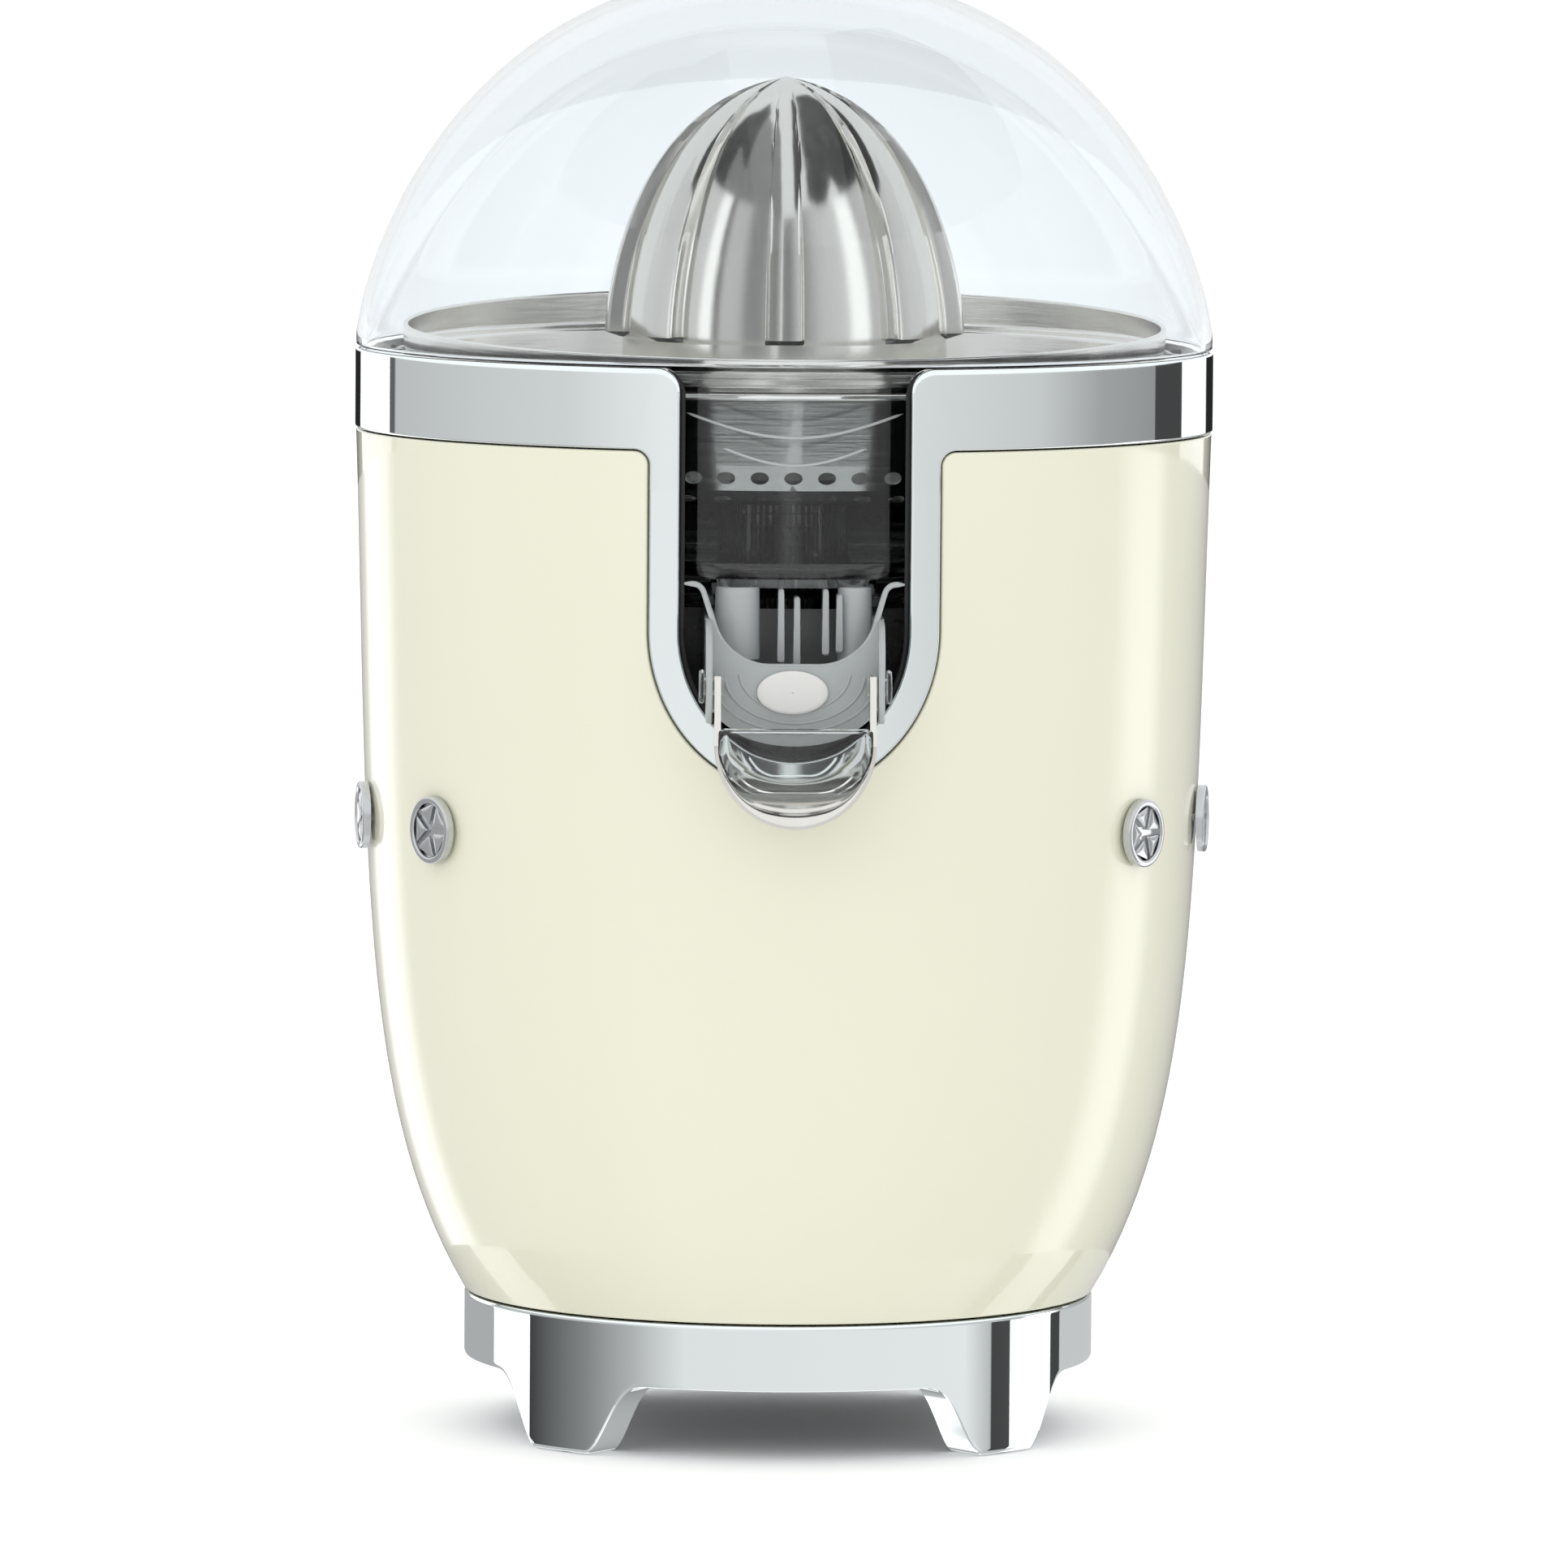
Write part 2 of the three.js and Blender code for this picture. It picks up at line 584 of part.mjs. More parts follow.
// ---------------------------------------------------------------- assembly
const assembly = new THREE.Group();
assembly.name = 'citrus_press_juicer';

function add(name, finish, body) {
  const mesh = body.getMesh();
  const geometry = new THREE.BufferGeometry();
  geometry.setAttribute('position', new THREE.BufferAttribute(new Float32Array(mesh.vertProperties), 3));
  geometry.setIndex(new THREE.BufferAttribute(new Uint32Array(mesh.triVerts), 1));
  geometry.translate(0, AXIS_Y, 0);
  const [color, roughness, metalness] = FINISHES[finish];
  const part = new THREE.Mesh(geometry, new THREE.MeshStandardMaterial({ color, roughness, metalness }));
  part.name = name;
  assembly.add(part);
}

add('housing_shell', 'cream_enamel', housingShell());
add('trim_band', 'chrome', trimBand());
add('opening_trim', 'chrome', openingTrim());
add('bowl_well', 'grey_plastic', bowlWell());
add('base_ring', 'chrome', baseRing());
add('bottom_plate', 'dark_plastic', bottomPlate());
add('cord_inlet', 'rubber', cordInlet());
for (let i = 0; i < FEET; i += 1) {
  const turn = 45 + i * 90;
  const angle = turn * Math.PI / 180;
  const [x, y] = [BASE_SCREW_RADIUS * Math.cos(angle), BASE_SCREW_RADIUS * Math.sin(angle)];
  add(`foot_pad_${i + 1}`, 'rubber', footPad(turn));
  add(`base_screw_${i + 1}`, 'steel', screw(x, y, 19.9, 9.5));
}
[56, 82, 106, 130].forEach((turn, i) => {
  add(`badge_right_${i + 1}`, 'chrome', badge(turn));
  add(`badge_left_${i + 1}`, 'chrome', badge(-turn));
});

add('motor_plate', 'steel', motorPlate());
add('gearbox_cover', 'dark_plastic', gearboxCover());
POSTS.forEach(([x, y], i) => {
  add(`gearbox_screw_${i + 1}`, 'steel', screw(x, y, MOTOR_PLATE.bottom - GAP, 15));
});
add('idler_axle', 'steel', idlerAxle());
add('motor_can', 'steel', motorCan());
add('motor_cap', 'white_plastic', motorCap());
add('magnet_right', 'ferrite', magnet(1));
add('magnet_left', 'ferrite', magnet(-1));
add('shaft_bush', 'bronze', ring(5.25, 6.6, 167, 175.5));
add('switch_body', 'dark_plastic', switchBody());
add('control_board', 'board_green', controlBoard());
add('capacitor', 'dark_plastic', capacitor());
add('return_spring', 'steel', returnSpring());

add('thrust_cup', 'white_plastic', thrustCup());
add('output_gear', 'white_plastic', outputGear());
add('drive_shaft', 'steel', driveShaft());
add('idler_gear', 'white_plastic', idlerGear());
add('rotor', 'steel', rotor());
add('cooling_fan', 'dark_plastic', coolingFan());
add('switch_lever', 'steel', switchLever());
add('switch_button', 'white_plastic', switchButton());

add('juice_bowl', 'clear_plastic', juiceBowl());
add('spout_chute', 'clear_plastic', spoutChute());
add('bowl_seal', 'rubber', bowlSeal());
add('spout_pin_right', 'clear_plastic', spoutPin(1));
add('spout_pin_left', 'clear_plastic', spoutPin(-1));
add('spout_lip', 'steel', spoutLip());
add('spout_shield', 'clear_plastic', spoutShield());
add('strainer', 'steel', strainer());
add('reamer_hub', 'white_plastic', reamerHub());
add('reamer_cone', 'steel', reamerCone());
add('lid_dome', 'clear_plastic', lidDome());

export default assembly;
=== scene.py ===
"""Looks for the citrus press juicer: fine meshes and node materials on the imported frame.

Sizes below are in millimetres about the drive axis, +Z up, with the spout facing -Y.
"""
import json
import math

import bmesh
import bpy
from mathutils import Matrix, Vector


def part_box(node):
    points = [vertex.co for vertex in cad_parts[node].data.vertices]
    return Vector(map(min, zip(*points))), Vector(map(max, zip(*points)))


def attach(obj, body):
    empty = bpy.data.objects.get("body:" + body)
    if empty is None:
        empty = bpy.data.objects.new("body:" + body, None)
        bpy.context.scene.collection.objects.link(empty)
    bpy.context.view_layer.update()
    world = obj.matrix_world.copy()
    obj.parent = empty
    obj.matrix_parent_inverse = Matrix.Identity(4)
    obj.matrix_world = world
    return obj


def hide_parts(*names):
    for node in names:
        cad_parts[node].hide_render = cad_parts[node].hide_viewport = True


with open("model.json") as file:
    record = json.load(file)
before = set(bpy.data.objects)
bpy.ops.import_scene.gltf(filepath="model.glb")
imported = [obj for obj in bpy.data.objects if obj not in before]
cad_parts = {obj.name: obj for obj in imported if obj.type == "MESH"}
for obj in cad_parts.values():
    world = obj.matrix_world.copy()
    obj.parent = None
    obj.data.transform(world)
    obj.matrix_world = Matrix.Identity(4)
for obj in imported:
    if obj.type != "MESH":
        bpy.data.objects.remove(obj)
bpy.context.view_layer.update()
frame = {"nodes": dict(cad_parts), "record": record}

MM = 0.001
TAU = 2 * math.pi


def middle(node):
    low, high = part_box(node)
    return (low + high) / 2


AXIS = middle("base_ring")             # the drive axis passes through the middle of the base

# Body and chrome
BODY_BOTTOM = 27.0
BODY_TOP = 194.5
BODY_WALL = 2.6
BAND_TOP = 210.2
BAND_RADIUS = 83.2
BAND_INNER = 80.2
SHOULDER = 160.7                       # where the opening stops being straight
OPENING = {"half": 21.9, "drop": 24.5, "corner": 4.4}
SURROUND = {"half": 27.5, "drop": 30.1, "corner": 3.0}
PANEL = {"half": 27.85, "drop": 30.45, "corner": 2.6}
BASE_RADIUS = 61.2
BASE_INNER = 52.0
BASE_TOP = 26.7
BASE_FOOT = 0.3                        # lower than the CAD feet, so that the pads hardly show
ARCH_TOP = 14.0
RIM_TOP = 215.0                        # edge of the strainer's rim, level with the axis
RIM_SLOPE = 0.045                      # how fast that edge rises to the back

# Bowl, strainer, reamer and lid
PIVOT = (-88.5, 151.0)                 # the lip turns about this y and z
LIP_SHOULDER = 140.0
RIBS = 8
RIB_TURN = -1.5                        # degrees that the front rib is turned off straight ahead
RIB_END = 212.6                        # the ribs stop here and the lobes go on down
CONE_TOP = 263.0
CONE_RADIUS = 34.9                     # over the ribs, where the straight skirt ends
CONE_SHOULDER = 212.0
LID_TOP = 284.0
BADGE_TURNS = (56, 82, 106, 130)
BADGE_HEIGHT = 120.0


# ------------------------------------------------------------------ mesh helpers
def place(x, y, z):
    return (AXIS.x + x * MM, AXIS.y + y * MM, z * MM)


def build(name, points, faces, finish, body, replaced=(), crease=40, weld=0.004):
    """A smooth-shaded piece from points in millimetres, riding on a body."""
    mesh = bpy.data.meshes.new(name)
    mesh.from_pydata([place(*p) for p in points], [], faces)
    shape = bmesh.new()
    shape.from_mesh(mesh)
    bmesh.ops.remove_doubles(shape, verts=shape.verts, dist=weld * MM)
    bmesh.ops.recalc_face_normals(shape, faces=shape.faces)
    shape.to_mesh(mesh)
    shape.free()
    mesh.shade_smooth()
    mesh.set_sharp_from_angle(angle=math.radians(crease))
    material, slot = finish
    mesh.materials.append(material)
    piece = bpy.data.objects.new(name, mesh)
    bpy.context.scene.collection.objects.link(piece)
    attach(piece, body)
    if replaced:
        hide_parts(*replaced)
    even = piece.modifiers.new("even_shading", "WEIGHTED_NORMAL")
    even.keep_sharp = True
    even.weight = 80


def grid(rows, close_rows=False, close_columns=True):
    """Faces that join a list of equally long rows of points."""
    count = len(rows[0])
    faces = []
    row_steps = len(rows) if close_rows else len(rows) - 1
    column_steps = count if close_columns else count - 1
    for i in range(row_steps):
        below, above = i * count, ((i + 1) % len(rows)) * count
        for k in range(column_steps):
            after = (k + 1) % count
            faces.append((below + k, below + after, above + after, above + k))
    return [p for row in rows for p in row], faces


def merged(*parts):
    """Several (points, faces) pairs as one."""
    points, faces = [], []
    for more_points, more_faces in parts:
        start = len(points)
        points += more_points
        faces += [tuple(start + i for i in face) for face in more_faces]
    return points, faces


def moved(part, shift=(0, 0, 0), turn=0.0):
    """A (points, faces) pair shifted and then turned about the drive axis, in degrees."""
    c, s = math.cos(math.radians(turn)), math.sin(math.radians(turn))
    points = []
    for x, y, z in part[0]:
        x, y, z = x + shift[0], y + shift[1], z + shift[2]
        points.append((x * c - y * s, x * s + y * c, z))
    return points, part[1]


def rounded(outline, steps=5, closed=True):
    """An outline of (a, b) or (a, b, radius) corners with each corner rounded."""
    count = len(outline)
    result = []
    for i, corner in enumerate(outline):
        here = Vector(corner[:2])
        radius = corner[2] if len(corner) > 2 else 0
        end = not closed and i in (0, count - 1)
        if radius == 0 or end:
            result.append(tuple(here))
            continue
        before = Vector(outline[i - 1][:2]) - here
        after = Vector(outline[(i + 1) % count][:2]) - here
        reach = min(radius, before.length * 0.48, after.length * 0.48)
        start, stop = here + before.normalized() * reach, here + after.normalized() * reach
        for k in range(steps + 1):
            t = k / steps
            result.append(tuple(start * (1 - t) ** 2 + here * 2 * t * (1 - t) + stop * t * t))
    return result


def turned(outline, around=192, closed=True):
    """A (radius, height) outline turned about the drive axis."""
    rows = []
    for radius, height in outline:
        row = []
        for k in range(around):
            angle = TAU * k / around
            row.append((radius * math.sin(angle), -radius * math.cos(angle), height))
        rows.append(row)
    return grid(rows, close_rows=closed)


def bezier(p0, p1, p2, p3, steps):
    points = []
    for i in range(steps + 1):
        t = i / steps
        a, b, c, d = (1 - t) ** 3, 3 * (1 - t) ** 2 * t, 3 * (1 - t) * t * t, t ** 3
        points.append(tuple(a * q0 + b * q1 + c * q2 + d * q3 for q0, q1, q2, q3 in zip(p0, p1, p2, p3)))
    return points


def smooth_step(value):
    """Rises from 0 to 1 with level ends."""
    value = max(0.0, min(1.0, value))
    return value * value * (3 - 2 * value)


def circle(radius, count):
    """Points (a, b) round a circle, anticlockwise."""
    return [(radius * math.cos(TAU * k / count), radius * math.sin(TAU * k / count)) for k in range(count)]


BODY_CURVE = bezier((61.2, 27), (82.25, 62.2), (80.4, 110.5), (83, 194.5), 60)


def body_radius(height):
    """Outer radius of the painted body at a height."""
    for (r0, z0), (r1, z1) in zip(BODY_CURVE, BODY_CURVE[1:]):
        if height <= z1:
            return r0 + (r1 - r0) * max(0.0, (height - z0) / (z1 - z0))
    return BODY_CURVE[-1][0]


def trim_radius(height):
    return min(body_radius(height) + 0.45, BAND_RADIUS)


def opening_edge(half, drop, corner, top, radius_at):
    """Half of an edge that runs from the bottom of the U, up, and round the top to the back.

    Each point is (angle from straight ahead, height)."""
    flat = []
    for i in range(29):
        a = -math.pi / 2 + math.pi / 2 * i / 28
        flat.append((half * math.cos(a), SHOULDER + drop * math.sin(a)))
    for i in range(1, 13):
        flat.append((half, SHOULDER + (top - corner - SHOULDER) * i / 12))
    for i in range(1, 9):
        a = math.pi - math.pi / 2 * i / 8
        flat.append((half + corner + corner * math.cos(a), top - corner + corner * math.sin(a)))
    edge = [(math.asin(x / radius_at(z)), z) for x, z in flat]
    last = edge[-1][0]
    edge += [(last + (math.pi - last) * i / 72, top) for i in range(1, 73)]
    return edge


def both_sides(edge):
    """The mirrored half and the half itself as one closed run, starting at the back."""
    left = [(-a, z) for a, z in reversed(edge[1:])]
    return left[1:] + edge


def inset(edge, distance, radius_at):
    """A closed run of (angle, height) points moved sideways over the surface, to its left."""
    count = len(edge)
    result = []
    for i, (angle, height) in enumerate(edge):
        (a0, z0), (a1, z1) = edge[i - 1], edge[(i + 1) % count]
        radius = radius_at(height)
        turn = (a1 - a0 + math.pi) % TAU - math.pi
        along = Vector((turn * radius, z1 - z0)).normalized()
        result.append((angle - along.y * distance / radius, height + along.x * distance))
    return result


def on_surface(edge, radius_at, depth):
    row = []
    for angle, height in edge:
        r = radius_at(height) - depth
        row.append((r * math.sin(angle), -r * math.cos(angle), height))
    return row


def ribbon(first, last, radius_at, edge_radius, wall, middle_rows):
    """A skin between two closed edges, with rounded rims that turn in by the wall's thickness."""
    rows = [on_surface(first, radius_at, wall)]
    turns = [math.pi / 2 * k / 5 for k in range(6)]
    for a in turns:
        near = inset(first, edge_radius * (1 - math.cos(a)), radius_at)
        rows.append(on_surface(near, radius_at, edge_radius * (1 - math.sin(a))))
    start = inset(first, edge_radius, radius_at)
    stop = inset(last, -edge_radius, radius_at)
    for k in range(1, middle_rows):
        t = k / middle_rows
        between = []
        for (a0, z0), (a1, z1) in zip(start, stop):
            between.append((a0 + (a1 - a0) * t, z0 + (z1 - z0) * t))
        rows.append(on_surface(between, radius_at, 0))
    for a in reversed(turns):
        near = inset(last, -edge_radius * (1 - math.cos(a)), radius_at)
        rows.append(on_surface(near, radius_at, edge_radius * (1 - math.sin(a))))
    rows.append(on_surface(last, radius_at, wall))
    return grid(rows)


# ------------------------------------------------------------------ materials
def srgb(red, green, blue):
    """A colour given in 0 to 255 display values, as linear values."""
    linear = []
    for value in (red, green, blue):
        value /= 255
        linear.append(value / 12.92 if value <= 0.04045 else ((value + 0.055) / 1.055) ** 2.4)
    return (*linear, 1.0)


def surface(name, slot, color, rough, spread=0.04, grain=(300, 300, 300), bump=0.02, tint=0.96, **sockets):
    """A procedural finish: noise varies its colour and roughness, and lifts its surface a little.

    grain is how fine the noise is along x, y and z, and tint is how dark its darkest colour gets."""
    material = bpy.data.materials.new(name)
    material.use_nodes = True
    nodes, links = material.node_tree.nodes, material.node_tree.links
    shader = nodes["Principled BSDF"]
    where = nodes.new("ShaderNodeTexCoord")
    stretch = nodes.new("ShaderNodeMapping")
    stretch.inputs["Scale"].default_value = grain
    noise = nodes.new("ShaderNodeTexNoise")
    noise.inputs["Scale"].default_value = 1.0
    noise.inputs["Detail"].default_value = 4.0
    links.new(where.outputs["Object"], stretch.inputs["Vector"])
    links.new(stretch.outputs["Vector"], noise.inputs["Vector"])

    colors = nodes.new("ShaderNodeMixRGB")
    colors.inputs["Color1"].default_value = (*[c * tint for c in color[:3]], 1)
    colors.inputs["Color2"].default_value = color
    links.new(noise.outputs["Fac"], colors.inputs["Fac"])
    links.new(colors.outputs["Color"], shader.inputs["Base Color"])

    roughness = nodes.new("ShaderNodeMapRange")
    roughness.inputs["To Min"].default_value = max(0.0, rough - spread)
    roughness.inputs["To Max"].default_value = rough + spread
    links.new(noise.outputs["Fac"], roughness.inputs["Value"])
    links.new(roughness.outputs["Result"], shader.inputs["Roughness"])

    if bump:
        lift = nodes.new("ShaderNodeBump")
        lift.inputs["Strength"].default_value = bump
        lift.inputs["Distance"].default_value = 0.0005
        links.new(noise.outputs["Fac"], lift.inputs["Height"])
        links.new(lift.outputs["Normal"], shader.inputs["Normal"])
    for socket, value in sockets.items():
        shader.inputs[socket.replace("_", " ")].default_value = value
    return material, slot


CREAM = surface("cream_paint", "cream_enamel", srgb(226, 224, 203), 0.3, 0.03, (60, 60, 60), 0.01, 0.985,
                Coat_Weight=1.0, Coat_Roughness=0.04)
CHROME = surface("polished_chrome", "chrome", srgb(246, 252, 253), 0.03, 0.015, (30, 30, 30), 0.0, 0.97,
                 Metallic=1.0)
REAMER_STEEL = surface("reamer_steel", "steel", srgb(232, 230, 224), 0.13, 0.05, (500, 500, 60), 0.02, 0.94,
                       Metallic=1.0)
# The strainer's rim and basket are one brushed steel in two brightnesses: the lighter rim copy and the darker
# basket copy are painted light and painted shade.
RIM_STEEL_LIT_COPY = surface("rim_steel_lit_copy", "steel", srgb(250, 248, 243), 0.2, 0.08, (90, 90, 1500), 0.05, 0.9,
                    Metallic=1.0)
BASKET_STEEL_SHADED_COPY = surface("basket_steel_shaded_copy", "steel", srgb(166, 169, 168), 0.2, 0.08, (90, 90, 1500), 0.05, 0.85,
                  Metallic=1.0)
PLAIN_STEEL = surface("plain_steel", "steel", srgb(190, 190, 188), 0.3, 0.08, (400, 400, 400), 0.05, 0.9,
                      Metallic=1.0)
CLEAR = surface("clear_bowl_plastic", "clear_plastic", srgb(248, 250, 250), 0.03, 0.02, (80, 80, 80), 0.02,
                1.0, Transmission_Weight=1.0, IOR=1.5)
FROSTED = surface("frosted_bowl_plastic", "clear_plastic", srgb(198, 203, 203), 0.22, 0.1, (200, 200, 200),
                  0.05, 0.93, Transmission_Weight=0.3, IOR=1.45)
MILKY = surface("milky_bowl_plastic", "clear_plastic", srgb(236, 240, 240), 0.16, 0.1, (200, 200, 200), 0.05,
                0.93, Transmission_Weight=0.55, IOR=1.45)
SHIELD_CLEAR = surface("clear_shield_plastic", "clear_plastic", srgb(238, 240, 240), 0.05, 0.03,
                       (120, 120, 120), 0.05, 0.95, Transmission_Weight=1.0, IOR=1.5)
BADGE_CHROME = surface("satin_badge_chrome", "chrome", srgb(206, 208, 210), 0.2, 0.05, (400, 400, 400), 0.02,
                       0.92, Metallic=1.0)
LID_CLEAR = surface("clear_lid_plastic", "clear_plastic", srgb(243, 246, 248), 0.012, 0.01, (40, 40, 40),
                    0.006, 1.0, Transmission_Weight=1.0, IOR=1.4)
SILICONE = surface("pale_silicone", "clear_plastic", srgb(222, 221, 218), 0.45, 0.1, (300, 300, 300), 0.05,
                   0.95)
SLEEVE_GREY = surface("sleeve_plastic", "grey_plastic", srgb(122, 126, 125), 0.25, 0.06, (300, 300, 300),
                      0.04, 0.85)
WELL_GREY = surface("well_plastic", "grey_plastic", srgb(70, 73, 72), 0.28, 0.06, (300, 300, 300), 0.04, 0.8)
DARK = surface("dark_plastic", "dark_plastic", srgb(44, 45, 47), 0.5, 0.1, (900, 900, 900), 0.2, 0.8)
WHITE = surface("white_acetal", "white_plastic", srgb(228, 228, 222), 0.4, 0.08, (500, 500, 500), 0.08, 0.93)
RUBBER = surface("black_rubber", "rubber", srgb(34, 34, 35), 0.75, 0.1, (1200, 1200, 1200), 0.3, 0.75)
BRONZE = surface("sintered_bronze", "bronze", srgb(176, 138, 84), 0.42, 0.1, (1500, 1500, 1500), 0.3, 0.8,
                 Metallic=1.0)
FERRITE = surface("ferrite", "ferrite", srgb(62, 63, 66), 0.7, 0.1, (1500, 1500, 1500), 0.3, 0.8)
BOARD = surface("board_laminate", "board_green", srgb(46, 110, 70), 0.45, 0.1, (800, 800, 200), 0.1, 0.8)

CAD_FINISHES = {
    "steel": PLAIN_STEEL, "dark_plastic": DARK, "white_plastic": WHITE, "grey_plastic": WELL_GREY,
    "rubber": RUBBER, "bronze": BRONZE, "ferrite": FERRITE, "board_green": BOARD, "chrome": CHROME,
    "cream_enamel": CREAM, "clear_plastic": CLEAR,
}


# ------------------------------------------------------------------ body and chrome
def housing_shell():
    """The painted body, open at the front round the chrome surround."""
    edge = opening_edge(PANEL["half"], PANEL["drop"], PANEL["corner"], BODY_TOP, body_radius)
    steps = [0.0]
    for (a0, z0), (a1, z1) in zip(edge, edge[1:]):
        steps.append(steps[-1] + math.hypot((a1 - a0) * 83, z1 - z0))
    foot = [(math.pi * s / steps[-1], BODY_BOTTOM) for s in steps]
    part = ribbon(both_sides(foot), both_sides(edge), body_radius, 0.4, BODY_WALL, 44)
    build("housing_shell_skin", *part, CREAM, "housing", ["housing_shell"], 60)


def trim_band():
    """The chrome band and the surround of the opening, as one skin."""
    outer = opening_edge(SURROUND["half"], SURROUND["drop"], SURROUND["corner"], BODY_TOP + 0.3, trim_radius)
    inner = opening_edge(OPENING["half"], OPENING["drop"], OPENING["corner"], BAND_TOP, trim_radius)
    part = ribbon(both_sides(outer), both_sides(inner), trim_radius, 0.45, BAND_RADIUS - BAND_INNER, 14)
    build("trim_band_skin", *part, CHROME, "housing", ["trim_band", "opening_trim"], 60)


def opening_shadow_bead():
    """A thin dark bead just inside the opening's chrome edge, up each side and round the shoulder: a painted
    shadow line for the gap between the chrome and the bowl.
    """
    edge = opening_edge(OPENING["half"] - 0.35, OPENING["drop"] - 0.35, OPENING["corner"] + 0.35,
                        BAND_TOP - 0.35, trim_radius)[:48]
    parts = []
    for sign in (1, -1):
        path = [(sign * x, y, z) for x, y, z in on_surface(edge, trim_radius, 1.6)]
        parts.append(bead(path, 0.42))
    # The dark rubber bead is painted shade standing in for the shadow in the gap, not a seal.
    build("opening_trim_shadow_bead", *merged(*parts), RUBBER, "housing", (), 60)


def arch_height(across):
    """Height of the base's lower edge at a distance across from the middle of an arch."""
    return ARCH_TOP - (ARCH_TOP - BASE_FOOT) * smooth_step(max(0.0, (across - 26) / 12.2) ** 1.6)


def base_ring():
    """Four feet with arches between; the arches are cut toward the axis."""
    section = [(BASE_INNER, 23), (BASE_INNER, 8), (BASE_INNER, 0.3), (BASE_INNER + 0.3, 0),
               (BASE_RADIUS - 0.7, 0), (BASE_RADIUS - 0.2, 0.2), (BASE_RADIUS, 0.7), (BASE_RADIUS, 1.2),
               (BASE_RADIUS, 25.6), (BASE_RADIUS, 26.1), (BASE_RADIUS - 0.2, 26.5),
               (BASE_RADIUS - 0.6, BASE_TOP), (44, BASE_TOP), (44, 23)]
    count = 960
    rows = []
    for radius, level in section:
        row = []
        for k in range(count):
            a = TAU * k / count
            edge = arch_height(BASE_RADIUS * min(abs(math.sin(a)), abs(math.cos(a))))
            height = level if level > 8 else max(edge + min(level, 2), level)
            row.append((radius * math.sin(a), -radius * math.cos(a), height))
        rows.append(row)
    build("base_ring_chrome", *grid(rows, close_rows=True), CHROME, "housing", ["base_ring"], 35)


def badge_shape():
    """A citrus slice in the plane: a raised rim and wedges round the middle, as (points, faces)."""
    rim = []
    profile = rounded([(5.2, 0), (5.2, 1.6, 0.4), (6.5, 1.6, 0.5), (6.5, 0)], 3)
    for r, h in profile:
        rim.append([(a, b, h) for a, b in circle(r, 48)])
    parts = [grid(rim, close_rows=True)]
    for i in range(5):
        middle_angle = (i + 0.5) * TAU / 5
        tri = rounded([(1.0, 0, 0.5), (4.7, -2.9, 0.9), (4.7, 2.9, 0.9)], 4)
        centre = (sum(p[0] for p in tri) / len(tri), sum(p[1] for p in tri) / len(tri))
        layers = []
        for scale, height in [(1.0, 0), (1.0, 0.8), (0.9, 1.15), (0.6, 1.3), (0.02, 1.35)]:
            layer = []
            for u, v in tri:
                u, v = centre[0] + (u - centre[0]) * scale, centre[1] + (v - centre[1]) * scale
                layer.append((u * math.cos(middle_angle) - v * math.sin(middle_angle),
                              u * math.sin(middle_angle) + v * math.cos(middle_angle), height))
            layers.append(layer)
        parts.append(grid(layers))
    disc = [[(a, b, 0.35) for a, b in circle(r, 48)] for r in (0.05, 5.3)]
    parts.append(grid(disc))
    return merged(*parts)


def badges():
    """Four badges on each side, one turn of the shape for each."""
    points, faces = badge_shape()
    upright = [(x, -81.4 - z, BADGE_HEIGHT + y) for x, y, z in points]
    for i, turn in enumerate(BADGE_TURNS, 1):
        for side, sign in (("right", 1), ("left", -1)):
            part = moved((upright, faces), turn=sign * turn)
            node = f"badge_{side}_{i}"
            build(f"{node}_chrome", *part, BADGE_CHROME, "housing", [node], 40)


def bowl_well():
    """The deck under the bowl, with the channel that the chute stands in."""
    wall = [(79.9, 206.2, 0.4), (77, 206.2, 0.5), (77, 163, 3), (9, 163, 0.8), (9, 176, 0.6),
            (6.9, 176, 0.3), (6.9, 160), (78.6, 160), (78.6, 205), (79.9, 205, 0.2)]
    deck = turned(rounded(wall), 240)
    points, faces = deck
    kept = []
    for face in faces:
        centre = [sum(points[i][k] for i in face) / len(face) for k in range(3)]
        in_channel = abs(centre[0]) < 22.3 and centre[1] < -38.2
        if not in_channel:
            kept.append(face)
    deck = points, kept
    rows = [u_row(22.3, 24.9, 163, y) for y in (-78.2, -38.2)]
    channel = grid(rows, close_columns=False)
    back = (rows[1], [tuple(range(len(rows[1])))])
    build("bowl_well_deck", *merged(deck, channel, back), WELL_GREY, "housing", ["bowl_well"], 40)


def u_row(half, drop, top, y, steps=24, shoulder=SHOULDER):
    """Points along a U at one y: down one side, round the bottom and up the other."""
    row = [(-half, y, top)]
    for i in range(steps + 1):
        a = math.pi + math.pi * i / steps
        row.append((half * math.cos(a), y, shoulder + drop * math.sin(a)))
    row.append((half, y, top))
    return row


